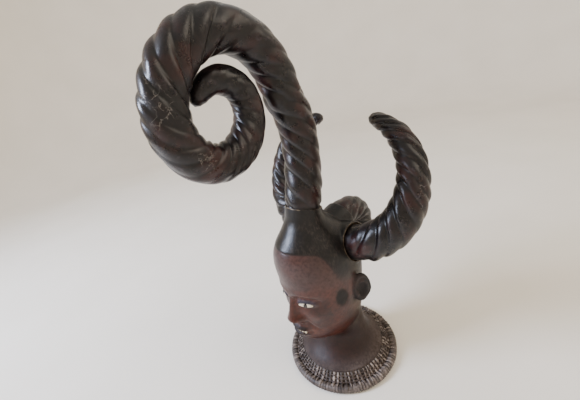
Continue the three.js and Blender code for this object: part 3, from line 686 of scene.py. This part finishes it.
def ear(side):
    """An ear as one shell: rolled rim, inner fold, hollow, lobe and the knob in front."""
    piece = ball("ear", (0, 0, 0), (1, 1, 1), 72)
    unit = local(points_of(piece))
    reach = np.minimum(np.hypot(unit[:, 0], unit[:, 1]), 1)
    turn = np.arctan2(unit[:, 1], unit[:, 0])
    back, up = np.cos(turn), np.sin(turn)
    outline = 1 + 0.10 * up * back + 0.05 * up - 0.12 * np.maximum(-up, 0) ** 2
    behind = step(back, -0.25, 0.16)
    upper = step(up, -0.55, 0.12)
    hollow = 2.2 + 3.8 * bump(reach, 0.9, 0.13) * np.maximum(behind, 0.75 * step(up, 0.2, 0.2)) * upper
    hollow += 2.6 * bump(reach, 0.55, 0.11) * behind * step(up, -0.6, 0.15)
    hollow -= 2.6 * bump(reach, 0.1, 0.36, 3)
    hollow += 3.4 * bump(np.hypot(reach * back + 0.72, reach * up + 0.18), 0, 0.24)
    hollow += 1.8 * bump(np.hypot(reach * back + 0.1, reach * up + 0.82), 0, 0.3)
    face = unit[:, 2] >= 0
    out = np.where(face, hollow * (1 - reach ** 10), -6.0 * np.sqrt(1 - reach ** 2))
    across = 16.0 * reach * outline * back
    height = 33.0 * reach * outline * up
    stand = ring_at(EYE_LINE - 8)[1] + 1.0 + 0.36 * (across + 13) + out
    spot = np.c_[side * stand, CENTRE + 19 + across - 0.12 * height, EYE_LINE - 8 + height]
    move_points(piece, scene(spot))
    outward(piece)
    return [piece]


def head_block(name, voxel, inset, ears):
    """The head as one closed form, drawn in by an inset."""
    block = column("block", 160, (20, 9))
    unit = points_of(block)
    turn = np.arctan2(unit[:, 1], unit[:, 0])
    reach = np.hypot(unit[:, 0], unit[:, 1])
    height = 1 + (unit[:, 2] + 0.5) * (CROWN + 20)
    centre, half_width, half_depth = ring_at(height)
    x = reach * half_width * np.cos(turn)
    y = centre + reach * half_depth * np.sin(turn)
    spot = np.c_[x, y, height]
    spot[:, 1] -= large_forms(x, height) * front_share(spot) * (reach > 0.5)
    move_points(block, scene(spot))
    pieces = [block]
    for seat, joint, foot, room, peg in SEATS[1:]:
        pieces.append(rod("collar", seat, joint_axis(joint), -30, COLLAR_STAND,
                          foot + COLLAR_LIP, 64, foot + COLLAR_LIP - 1.5))
    if ears:
        pieces += ear(1) + ear(-1)
    block = joined(name, pieces)
    applied(block, "REMESH", mode="VOXEL", voxel_size=voxel * MM)
    spot = local(points_of(block))
    ear_far = np.hypot((spot[:, 1] - CENTRE - 22) / 22, (spot[:, 2] - EYE_LINE + 8) / 36)
    tight = bump(ear_far, 0, 1, 8)
    soft = block.vertex_groups.new(name="soft")
    for level in range(11):
        near = np.flatnonzero(np.round(10 * (1 - 0.8 * tight)) == level)
        soft.add([int(i) for i in near], level / 10, "REPLACE")
    applied(block, "SMOOTH", factor=0.5, iterations=max(2, round(12 / voxel ** 1.2)), vertex_group="soft")
    spot = local(points_of(block))
    spot[:, 1] -= fine_forms(spot[:, 0], spot[:, 2]) * front_share(spot)
    hair = hair_cover(spot)
    groove = bump(hair, 0.5, 0.3) * bump(spot[:, 1], -200, 155, 12)
    normals = np.empty(len(spot) * 3)
    block.data.vertices.foreach_get("normal", normals)
    normals = normals.reshape(-1, 3)
    out = 0.5 * hair - 0.5 * groove - 0.9 * temple_mark(spot) - inset
    move_points(block, scene(spot + normals * out[:, None]))
    return block


def hair_cover(spot):
    """1 where the head is blacked as hair: sharp across the forehead, fading at the temples."""
    x, y, z = np.abs(spot[:, 0]), spot[:, 1] - CENTRE, spot[:, 2]
    front = HAIRLINE + 11 - 0.0022 * x ** 2
    temple = step(y, -32, 5)
    nape = step(y, 26, 5)
    line = front * (1 - temple) + (EYE_LINE + 34) * temple * (1 - nape) + (EYE_LINE - 45) * nape
    return step(z, line, 0.5 + 4.5 * temple)


def temple_mark(spot):
    """1 inside the oval scar on each temple, a little ragged at its edge."""
    x, y, z = np.abs(spot[:, 0]), spot[:, 1] - CENTRE, spot[:, 2] - EYE_LINE
    ragged = 0.06 * waves(41, y / 4, z / 5)
    far = np.hypot((y + 21 + 0.15 * z) / 12, (z + 2) / 20) + ragged
    return step(-far, -1, 0.09) * step(x, 30, 2)


def cut_by(piece, tool):
    applied(piece, "BOOLEAN", operation="DIFFERENCE", object=tool, solver="MANIFOLD")
    bpy.data.objects.remove(tool)
    return piece


def cap_hollow():
    """What the basket cap fills under the foot, as a turned solid."""
    below, reach, gap = -12, 118, 0.6
    edge = (EDGE[0] + gap * math.sin(SLOPE), EDGE[1] + gap * math.cos(SLOPE))
    profile = [(0, below), (reach, below), (reach, EDGE[1]), edge]
    profile += [(r, z + gap) for r, z in cap_dome()]
    return lathe("hollow", profile, 96)


def cap_dome():
    """Outer face of the basket cap from the foot's edge up to its middle."""
    shares = np.linspace(1, 0, 16)
    return [(FOOT * share, CAP_FACE + (CAP_TOP - CAP_FACE) * (1 - share ** 2) ** 1.2) for share in shares]


def lathe(name, profile, steps):
    """Turned solid about the rim's middle; the profile runs from the axis back to the axis."""
    mesh = bmesh.new()
    corners = [mesh.verts.new((r * MM, 0, z * MM)) for r, z in profile]
    edges = [mesh.edges.new(pair) for pair in zip(corners[:-1], corners[1:])]
    bmesh.ops.spin(mesh, geom=corners + edges, cent=(0, 0, 0), axis=(0, 0, 1),
                   angle=2 * math.pi, steps=steps, use_duplicate=False)
    bmesh.ops.remove_doubles(mesh, verts=mesh.verts, dist=1e-6)
    bmesh.ops.recalc_face_normals(mesh, faces=mesh.faces)
    made = bpy.data.meshes.new(name)
    mesh.to_mesh(made)
    mesh.free()
    piece = bpy.data.objects.new(name, made)
    bpy.context.scene.collection.objects.link(piece)
    made.transform(Matrix.Translation(Vector(base)))
    return piece


def eye_place(side):
    """Middle of an eye and the way it looks."""
    x = side * EYE_X
    centre, half_width, half_depth = ring_at(EYE_LINE)
    front = face_y(x, EYE_LINE)
    out = np.array([x / half_width ** 2, (front - centre) / half_depth ** 2, 0])
    return np.array([x, front, EYE_LINE]), out / np.linalg.norm(out)


EYE = (13.0, 3.2, 3.5)        # half width, depth and height of an eye
EYE_DROP = 1.2                # under the eye line


def eye_lens(name, side, gap):
    middle, out = eye_place(side)
    piece = ball(name, (0, 0, -EYE_DROP), [half + gap for half in EYE], 64)
    turn = math.atan2(out[0], -out[1])
    piece.data.transform(Matrix.Translation(Vector(-base)))
    piece.data.transform(Matrix.Translation(Vector(scene(middle))) @ Matrix.Rotation(turn, 4, "Z"))
    return piece


TEETH_ARC = math.radians(17)  # of the teeth, either side of the middle


def mouth_slot(name, gap):
    """Bent bar that the teeth are cut from."""
    centre, half_width, half_depth = ring_at(MOUTH_LINE)
    bpy.ops.object.select_all(action="DESELECT")
    bpy.ops.mesh.primitive_grid_add(x_subdivisions=64, y_subdivisions=2, size=2)
    piece = bpy.context.object
    piece.name = name
    applied(piece, "SOLIDIFY", thickness=2.0, offset=0)
    unit = points_of(piece)
    angle = unit[:, 0] * (TEETH_ARC + gap / half_width)
    radius = half_depth + 7 - 2 + unit[:, 1] * (2 + gap)
    move_points(piece, scene(np.c_[half_width * np.sin(angle), centre - radius * np.cos(angle),
                                   MOUTH_LINE + unit[:, 2] * (3 + gap)]))
    outward(piece)
    return piece


def cut_head(piece, back):
    for seat, joint, foot, room, peg in SEATS:
        direction = joint_axis(joint)
        cut_by(piece, rod("cut", seat, direction, -SEAT_GAP - back, 80, foot + room, 96))
        cut_by(piece, rod("cut", seat, direction, -45, 2, peg + 0.3, 32))
    cut_by(piece, rod("cut", front_seat, joint_axis("front_horn_pull"), FRONT_LIP, 80, 60, 96))
    cut_by(piece, cap_hollow())
    for side in (1, -1):
        cut_by(piece, eye_lens("cut", side, 0.3))
    cut_by(piece, mouth_slot("cut", 0.3))
    return piece


HEAD_VOXEL = 1.85
head_hide = head_block("head_hide", HEAD_VOXEL, 0, True)
head_hide = cut_by(head_hide, head_block("inside", 2.8, 1.8, False))
head_hide = cut_head(head_hide, 0.2)
head_wood = cut_head(head_block("head_wood", 2.8, 2.3, False), 0)


# Skin over the head: thin hide drawn on wet, red-brown and softly shining on the face, mauve on the
# forehead partly as painted sheen, blacked with soot as hair, and matt with dust towards the foot.
def head_leather():
    made, tree, shader = material("stretched_skin", 0.4, IOR=1.4)
    place = add(tree, "TexCoord").outputs["Object"]
    patch = noise(tree, place, 40, 3.0).outputs["Fac"]
    colour = ramp(tree, patch, (0.36, "#2c130c"), (0.52, "#431e15"), (0.68, "#562a1e"))
    # The forehead's mauve mix is partly its own tone and partly a painted sheen.
    for name, code in (("mauve_and_sheen", "#443230"), ("shade", "#210c07"), ("dust", "#4f4541"),
                       ("dark", "#0d0604"), ("lid", "#2a2c3c"), ("hair", "#0f0d0d"), ("raw", "#8d7d68")):
        share = add(tree, "Attribute", {"attribute_name": name}).outputs["Fac"]
        colour = mixed(tree, share, colour, tone(tree, code))
    hair = add(tree, "Attribute", {"attribute_name": "hair"}).outputs["Fac"]
    scraped = add(tree, "Mapping", {"Scale": (1.0, 1.0, 0.16)}, Vector=place).outputs[0]
    streak = ramp(tree, noise(tree, scraped, 2.6, 4.0).outputs["Fac"], (0.46, "#000000"), (0.62, "#ffffff"))
    rubbed = ramp(tree, noise(tree, place, 26, 3.0).outputs["Fac"], (0.4, "#000000"), (0.62, "#ffffff"))
    rubbed = add(tree, "Math", {"operation": "MULTIPLY"}, _0=rubbed, _1=streak).outputs[0]
    rubbed = add(tree, "Math", {"operation": "MULTIPLY"}, _0=rubbed, _1=hair).outputs[0]
    colour = mixed(tree, rubbed, colour, tone(tree, "#2c2522"))
    mottle = ramp(tree, noise(tree, place, 5, 5.0).outputs["Fac"], (0.3, "#a69c98"), (0.6, "#ffffff"))
    colour = mixed(tree, 0.7, colour, mottle, "MULTIPLY")
    tree.links.new(colour, shader.inputs["Base Color"])
    dust = add(tree, "Attribute", {"attribute_name": "dust"}).outputs["Fac"]
    cloud = noise(tree, place, 13).outputs["Fac"]
    gloss = add(tree, "MapRange", {"To Min": 0.22, "To Max": 0.46}, Value=cloud)
    rough = add(tree, "Math", {"operation": "MULTIPLY_ADD", 1: 0.5}, _0=dust, _2=gloss.outputs[0])
    shade = add(tree, "Attribute", {"attribute_name": "shade"}).outputs["Fac"]
    rough = add(tree, "Math", {"operation": "MULTIPLY_ADD", 1: 0.18}, _0=shade, _2=rough.outputs[0])
    dark = add(tree, "Attribute", {"attribute_name": "dark"}).outputs["Fac"]
    rough = add(tree, "Math", {"operation": "MULTIPLY_ADD", 1: 0.3}, _0=dark, _2=rough.outputs[0])
    tree.links.new(rough.outputs[0], shader.inputs["Roughness"])
    pore = noise(tree, place, 1.6, 4.0).outputs["Fac"]
    crease = noise(tree, place, 8, 3.0).outputs["Fac"]
    height = add(tree, "MapRange", {"To Min": 0.0, "To Max": 0.5}, Value=pore).outputs[0]
    height = add(tree, "Math", {"operation": "ADD"}, _0=height, _1=crease).outputs[0]
    relief = add(tree, "Bump", {"Strength": 0.45, "Distance": 0.0007}, Height=height)
    tree.links.new(relief.outputs[0], shader.inputs["Normal"])
    return made


spot = local(points_of(head_hide))
x, y, z = np.abs(spot[:, 0]), spot[:, 1] - CENTRE, spot[:, 2]
forward = front_share(spot)
lid_far = np.hypot((x - EYE_X) / 14.5, (z - EYE_LINE - 2.5) / 9)
lips = bump(np.abs(z - MOUTH_LINE), 6.6, 5.2, 6) * bump(x, 0, 21, 8) * forward
temple = temple_mark(spot)
ear_rise, ear_back = z - EYE_LINE + 8, y - 19
ear_back = ear_back + 0.12 * ear_rise
ears = bump(np.hypot(ear_back / 18, ear_rise / 34), 0, 1, 10)
ears = ears * step(x, ring_at(EYE_LINE - 8)[1] + 0.36 * (ear_back + 13) - 4, 0.6)
# Painted shade: the hollows of the ears, between rim and folds, are darkened.
ear_hollow_shade = ears * step(ring_at(EYE_LINE - 8)[1] + 4.6 + 0.36 * (ear_back + 13), x, 0.5)
raw = np.zeros(len(spot))
for seat, joint, foot, room, peg in SEATS:
    off = (points_of(head_hide) - seat) / MM
    along_seat = off @ joint_axis(joint)
    radial = np.sqrt(np.maximum((off ** 2).sum(1) - along_seat ** 2, 0))
    lip = FRONT_LIP if joint.startswith("front") else COLLAR_STAND
    raw = np.maximum(raw, (radial < foot + room + 1.3) * (along_seat > lip - 1.2) * 0.75)
uneven = waves(5, x / 9, z / 9)
# Forehead mauve: partly the skin's own tone, partly a painted sheen from the window.
paint(head_hide, "mauve_and_sheen", np.clip(0.75 * step(z, EYE_LINE + 22, 9) + 0.1 * uneven, 0, 1))
paint(head_hide, "shade", np.clip(0.9 * step(-z, -102, 7) + 0.5 * step(y, 10, 8), 0, 1))
paint(head_hide, "dust", np.clip(0.85 * step(-z, -36 - 0.1 * y, 3) * (1 + 0.3 * uneven), 0, 1))
# dark: the lips, the temple marks and the ears, with painted shade in the ears' hollows.
paint(head_hide, "dark", np.clip(0.9 * lips + temple + 0.3 * ears + 0.6 * ear_hollow_shade, 0, 1))
paint(head_hide, "lid", 0.85 * bump(lid_far, 0, 1, 6) * forward)
paint(head_hide, "hair", hair_cover(spot))
paint(head_hide, "raw", raw * np.clip(0.75 + 0.5 * waves(9, x / 5, y / 5, z / 5), 0, 1))
head_hide.data.shade_smooth()
finished(head_hide, "mask", head_leather(), "head_skin")
finished(head_wood, "mask", WOOD, "head_core")

# ---- Eyes and teeth ----------------------------------------------------------------------------
# Pale wood let into the sockets, each with a blackened peg for its pupil, and a slip of cane cut
# into teeth between the lips.


# Pale close-grained wood, scraped smooth: a soft shine, cream with brown streaks, with painted shade at an
# eye's edge and in the gaps between teeth.
def inlay():
    made, tree, shader = material("pale_inlay", 0.42, IOR=1.5)
    place = add(tree, "TexCoord").outputs["Object"]
    grain = noise(tree, place, 2.5, 4.0).outputs["Fac"]
    colour = ramp(tree, grain, (0.3, "#a38f72"), (0.48, "#cdbfa4"), (0.7, "#ded2ba"))
    edge_shade = add(tree, "Attribute", {"attribute_name": "edge_shade"}).outputs["Fac"]
    tree.links.new(mixed(tree, edge_shade, colour, tone(tree, "#2a201a")), shader.inputs["Base Color"])
    relief = add(tree, "Bump", {"Strength": 0.4, "Distance": 0.0003}, Height=grain)
    tree.links.new(relief.outputs[0], shader.inputs["Normal"])
    return made


# Peg charred and rubbed with oil: black, with a tight shine.
def blackened():
    made, tree, shader = material("blackened_peg", 0.28, IOR=1.5)
    place = add(tree, "TexCoord").outputs["Object"]
    grain = noise(tree, place, 2, 4.0).outputs["Fac"]
    tree.links.new(ramp(tree, grain, (0.35, "#0f0c0b"), (0.65, "#231b18")), shader.inputs["Base Color"])
    relief = add(tree, "Bump", {"Strength": 0.3, "Distance": 0.0002}, Height=grain)
    tree.links.new(relief.outputs[0], shader.inputs["Normal"])
    return made


INLAY = inlay()
BLACK = blackened()
for name, side in (("left", 1), ("right", -1)):
    middle, out = eye_place(side)
    lens = eye_lens(name + "_lens", side, 0)
    hole_at = scene(middle - np.array([0, 0, 1.0]))
    cut_by(lens, rod("cut", hole_at, out, -2, 8, 3.5, 48))
    spot = local(points_of(lens)) - middle
    rim = np.hypot(np.hypot(spot[:, 0], spot[:, 1]) / EYE[0], (spot[:, 2] + EYE_DROP) / EYE[2])
    # Painted shade along the eye's edge, where it meets the lids.
    paint(lens, "edge_shade", np.clip(0.9 * step(rim, 0.985, 0.012), 0, 1))
    lens.data.shade_smooth()
    finished(lens, "mask", INLAY, name + "_eye")
    peg = ball(name + "_iris", (0, 0, 0), (1, 1, 1), 48)
    unit = local(points_of(peg))
    depth = np.where(unit[:, 2] > 0, 0.9 * unit[:, 2], -4.0 * np.minimum(-unit[:, 2] * 3, 1))
    wide = np.hypot(unit[:, 0], unit[:, 1])
    flat = 3.3 * np.minimum(1, 1.6 * wide) / np.maximum(wide, 1e-6)
    local_place = np.c_[unit[:, 0] * flat, unit[:, 1] * flat, depth + 2.4]
    move_points(peg, local_place * MM)
    peg.data.transform(Matrix.Translation(Vector(hole_at)) @ aimed(out))
    peg.data.shade_smooth()
    finished(peg, "mask", BLACK, name + "_pupil")

teeth = mouth_slot("teeth", 0)
spot = local(points_of(teeth))
turn = np.arctan2(spot[:, 0], -(spot[:, 1] - ring_at(MOUTH_LINE)[0]))
cell = (turn / TEETH_ARC * 4.0) % 1 - 0.5     # eight teeth
gap_between = bump(np.abs(cell), 0.5, 0.12, 2)
crown = 1 - 0.10 * np.abs(spot[:, 2] - MOUTH_LINE)
centre, half_width, half_depth = ring_at(MOUTH_LINE)
outer = np.hypot(spot[:, 0] / half_width, (spot[:, 1] - centre) / half_depth)
spot[:, 1] += np.where(outer > 1.06, 1.6 * gap_between + 0.5 * (1 - crown), 0)
move_points(teeth, scene(spot))
# Painted shade in the gaps between the teeth.
paint(teeth, "edge_shade", gap_between)
finished(teeth, "mask", INLAY, "teeth_strip")

# ---- Basket cap, woven band and rim ------------------------------------------------------------
# A cap of coiled fibre under the wood, a band of split cane stakes woven over and under three
# rounds of weft, and a hoop bound round and round with cane strip.
BAND = 14.7 / math.cos(SLOPE)
STRIPS = 78                   # strips of cane in the 24 stakes, three or four to each
STAKES = 24
WEFTS = 3
WRAPS = 118
BINDING = (102.15, 7.85)      # radius and height of the middle of the bound rim
BINDING_FLAT = 7.7            # and its own radius, at the wraps


# Split cane and twined fibre: dry, matt and streaked along the fibre, dark in patches where dust and
# smoke have settled, each strip its own tone; on the bound rim the gaps between wraps get painted shade, so
# the crests stay pale.
def cane(name, fresh, worn, dirt):
    made, tree, shader = material(name, 0.55, IOR=1.45)
    place = add(tree, "TexCoord").outputs["Object"]
    fibre = noise(tree, place, 3.0, 4.0).outputs["Fac"]
    colour = ramp(tree, fibre, (0.3, worn), (0.66, fresh))
    grime = ramp(tree, noise(tree, place, 22, 4.0).outputs["Fac"], (0.42, "#000000"), (0.66, "#ffffff"))
    share = add(tree, "Math", {"operation": "MULTIPLY", 1: 0.7}, _0=grime).outputs[0]
    colour = mixed(tree, share, colour, tone(tree, dirt))
    # Each strip's own tone, and the painted shade in the gaps of the bound rim, arrive through this
    # attribute.
    tone_and_shade = add(tree, "Attribute", {"attribute_name": "tone_and_shade"}).outputs["Fac"]
    colour = mixed(tree, tone_and_shade, colour, tone(tree, "#1a1210"))
    tree.links.new(colour, shader.inputs["Base Color"])
    relief = add(tree, "Bump", {"Strength": 0.5, "Distance": 0.0004}, Height=fibre)
    tree.links.new(relief.outputs[0], shader.inputs["Normal"])
    return made


STAKE_CANE = cane("split_cane", "#a4978d", "#6f6159", "#43362f")
WEFT_CANE = cane("twined_fibre", "#5e5049", "#392d29", "#2a1e1b")
BOUND_CANE = cane("bound_cane", "#978a82", "#62534b", "#2c1d1a")
COIL_FIBRE = cane("coiled_fibre", "#5a4c42", "#3a2f29", "#241b18")


def band_point(length, lift):
    """Radius and height on the band, a length up its slope and a height off its face."""
    return (EDGE[0] - length * np.cos(SLOPE) + lift * np.sin(SLOPE),
            EDGE[1] + length * np.sin(SLOPE) + lift * np.cos(SLOPE))


def round_torus(name, around, across):
    bpy.ops.object.select_all(action="DESELECT")
    bpy.ops.mesh.primitive_torus_add(major_segments=around, minor_segments=across,
                                     major_radius=1.0, minor_radius=0.25)
    piece = bpy.context.object
    piece.name = name
    unit = points_of(piece)
    turn = np.arctan2(unit[:, 1], unit[:, 0])
    tube = np.arctan2(unit[:, 2], np.hypot(unit[:, 0], unit[:, 1]) - 1)
    return piece, turn, tube


def set_round(piece, turn, radius, height):
    move_points(piece, scene(np.c_[radius * np.cos(turn), radius * np.sin(turn), height]))


def dressed(node, look):
    """Gives its material to a CAD piece that stays in view."""
    mesh = frame["nodes"][node].data
    mesh.materials.clear()
    mesh.materials.append(look)


cap_pitch = 5.0               # mm from coil to coil
outer = [band_point(0, 0)] + [band_point(BAND * t, 0) for t in np.linspace(0.1, 0.95, 10)] + cap_dome()
outer = np.array(outer)
path_length = np.r_[0, np.cumsum(np.hypot(*np.diff(outer, axis=0).T))]
even = np.linspace(0, path_length[-1], 120)
outer = np.c_[np.interp(even, path_length, outer[:, 0]), np.interp(even, path_length, outer[:, 1])]
normal = np.gradient(outer, axis=0)
normal = np.c_[normal[:, 1], -normal[:, 0]]
normal /= np.linalg.norm(normal, axis=1)[:, None]
coil_wave = 0.45 * np.abs(np.sin(np.pi * even / cap_pitch)) - 0.5
inner = outer - normal * (2.6 + coil_wave)[:, None]
outer = outer + normal * np.minimum(coil_wave, 0)[:, None]
outer[-1, 0] = inner[-1, 0] = 0.0
profile = [tuple(p) for p in inner[::-1]] + [tuple(p) for p in outer]
cap = lathe("coiled_cap", profile, 96)
for index in range(4):
    peg_at = middle_of("foot_peg_%d" % (index + 1))
    cut_by(cap, rod("cut", peg_at, np.array([0, 0, 1.0]), -30, 30, 3.3, 24))
    dressed("foot_peg_%d" % (index + 1), WOOD)
cap.data.shade_smooth()
finished(cap, "mask", COIL_FIBRE, "basket_cap")

for index in range(WEFTS):
    weft, turn, tube = round_torus("weft_round_%d" % (index + 1), STRIPS * 8, 10)
    strand = 0.25 * np.sin(turn * 96 + tube)
    lift = 2.1 - 0.7 * np.cos(STRIPS / 2 * turn + math.pi * index) + (1.0 + strand) * np.sin(tube)
    length = BAND * (index + 1) / (WEFTS + 1) + 0.3 * waves(index, turn * 3) + (1.1 + strand) * np.cos(tube)
    set_round(weft, turn, *band_point(length, lift))
    weft.data.shade_smooth()
    finished(weft, "mask", WEFT_CANE, "weft_%d" % (index + 1))

strips = []
random = np.random.default_rng(5)
pattern = column("strip", 8, (28,))
unit = points_of(pattern)
share = unit[:, 2] + 0.5
on_band = np.clip(share / 0.55, 0, 1)
over_rim = np.clip((share - 0.55) / 0.45, 0, 1)
for index in range(STRIPS):
    strip = pattern.copy()
    strip.data = pattern.data.copy()
    bpy.context.scene.collection.objects.link(strip)
    wide, thick = random.uniform(1.0, 2.3), random.uniform(0.4, 0.55)
    lean, slip = random.uniform(-2.6, 2.6), random.uniform(-0.7, 0.7)
    reach = random.uniform(0.45, 1.0)
    weave = np.cos(math.pi * (index + (1 - on_band) * (WEFTS + 1) - 1))
    inside = bump(on_band, 0.5, 0.42, 8)
    lift = 0.9 + inside * (1.2 + 0.8 * weave)
    radius, height = band_point(BAND * (1.02 - 1.0 * on_band), lift + thick * unit[:, 1])
    wrap = np.radians(150 - 125 * reach * over_rim)
    rim_lift = BINDING_FLAT + 0.5 + thick * unit[:, 1]
    radius = np.where(over_rim > 0, BINDING[0] + rim_lift * np.cos(wrap), radius)
    height = np.where(over_rim > 0, BINDING[1] + rim_lift * np.sin(wrap), height)
    narrow = 1 - 0.5 * np.clip((share - 0.85) / 0.15, 0, 1)
    aside = slip + lean * (share - 0.5) + wide * narrow * unit[:, 0]
    turn = 2 * math.pi * index / STRIPS
    out = np.array([math.cos(turn), math.sin(turn), 0])
    beside = np.array([-math.sin(turn), math.cos(turn), 0])
    spot = radius[:, None] * out + aside[:, None] * beside + height[:, None] * np.array([0, 0, 1])
    move_points(strip, scene(spot))
    paint(strip, "tone_and_shade", np.full(len(unit), random.choice([0.0, 0.15, 0.45, 0.75])))
    strips.append(strip)
bpy.data.objects.remove(pattern)
stakes = joined("woven_stakes", strips)
stakes.data.shade_smooth()
finished(stakes, "mask", STAKE_CANE, *["stake_%02d" % (i + 1) for i in range(STAKES)])

binding, turn, tube = round_torus("rim_wrap", WRAPS * 8, 28)
half = (tube / (2 * np.pi)) % 1
outside = half < 0.5
sweep = np.where(outside, half / 0.5, (half - 0.5) / 0.5)
angle = np.radians(np.where(outside, 150 - 272 * sweep, -122 + 272 * sweep))
phase = turn * WRAPS / (2 * np.pi) + 0.35 * angle / np.pi + 0.12 * waves(2, turn * 7)
ridge = 1 - np.abs(2 * (phase - np.floor(phase)) - 1) ** 2.2
wrap_tone = np.random.default_rng(7).uniform(0, 0.55, WRAPS + 4)[np.floor(phase).astype(int) % WRAPS]
lump = 0.25 * waves(4, turn * 9, angle)
radius = np.where(outside, BINDING_FLAT - 1.5 + 1.5 * ridge + lump * 0.5, BINDING_FLAT - 2.8)
tall = BINDING[1] + radius * np.sin(angle)
set_round(binding, turn, BINDING[0] + radius * np.cos(angle), np.maximum(tall, 0.0))
# Painted shade: the gaps between wraps are darker; also each wrap's own random tone, darker towards the
# table, and a flat 0.3 on the inner half.
wrap_tone_and_shade = wrap_tone + 1.0 * (1 - ridge) + 0.6 * step(-tall, -4.5, 1.5)
paint(binding, "tone_and_shade", np.clip(np.where(outside, wrap_tone_and_shade, 0.3), 0, 1))
outward(binding)
binding.data.shade_smooth()
finished(binding, "mask", BOUND_CANE, "rim_binding")
dressed("rim_hoop", COIL_FIBRE)

# ---- Floor and light ---------------------------------------------------------------------------
# A plain pale table top that curves up into a backdrop all round, a window-like light from the
# mask's front and weaker fill.
FLAT = 2400                   # radius of the table top, of its bend up and the backdrop's height, mm
BEND = 900
BACKDROP = 3200
sweep = [(0, 0), (FLAT, 0)]
sweep += [(FLAT + BEND * math.sin(t), BEND - BEND * math.cos(t)) for t in np.linspace(0.1, math.pi / 2, 12)]
sweep += [(FLAT + BEND, BACKDROP)]
floor = lathe("floor", sweep, 64)
floor.data.shade_smooth()
paper, paper_tree, paper_shader = material("pale_table", 0.9)
paper_place = add(paper_tree, "TexCoord").outputs["Object"]
paper_tone = noise(paper_tree, paper_place, 300, 2.0).outputs["Fac"]
paper_tree.links.new(ramp(paper_tree, paper_tone, (0.3, "#f0e9dc"), (0.7, "#f5eee2")),
                     paper_shader.inputs["Base Color"])
floor.data.materials.append(paper)


def area_light(name, place, target, size, power, colour):
    lamp = bpy.data.lights.new(name, "AREA")
    lamp.shape = "RECTANGLE"
    lamp.size, lamp.size_y = size
    lamp.energy = power
    lamp.color = linear(colour)[:3]
    holder = bpy.data.objects.new(name, lamp)
    bpy.context.scene.collection.objects.link(holder)
    holder.location = place
    holder.rotation_euler = (Vector(target) - Vector(place)).to_track_quat("-Z", "Y").to_euler()


area_light("window", (-0.9, -1.5, 1.35), (0, 0, 0.35), (0.6, 0.9), 85, "#d6e3ff")
area_light("room", (1.4, 0.9, 2.0), (0, 0, 0.1), (1.6, 1.6), 22, "#fff1dd")
world = bpy.data.worlds.new("room")
world.use_nodes = True
world.node_tree.nodes["Background"].inputs["Color"].default_value = linear("#efe9df")
world.node_tree.nodes["Background"].inputs["Strength"].default_value = 1.0
bpy.context.scene.world = world
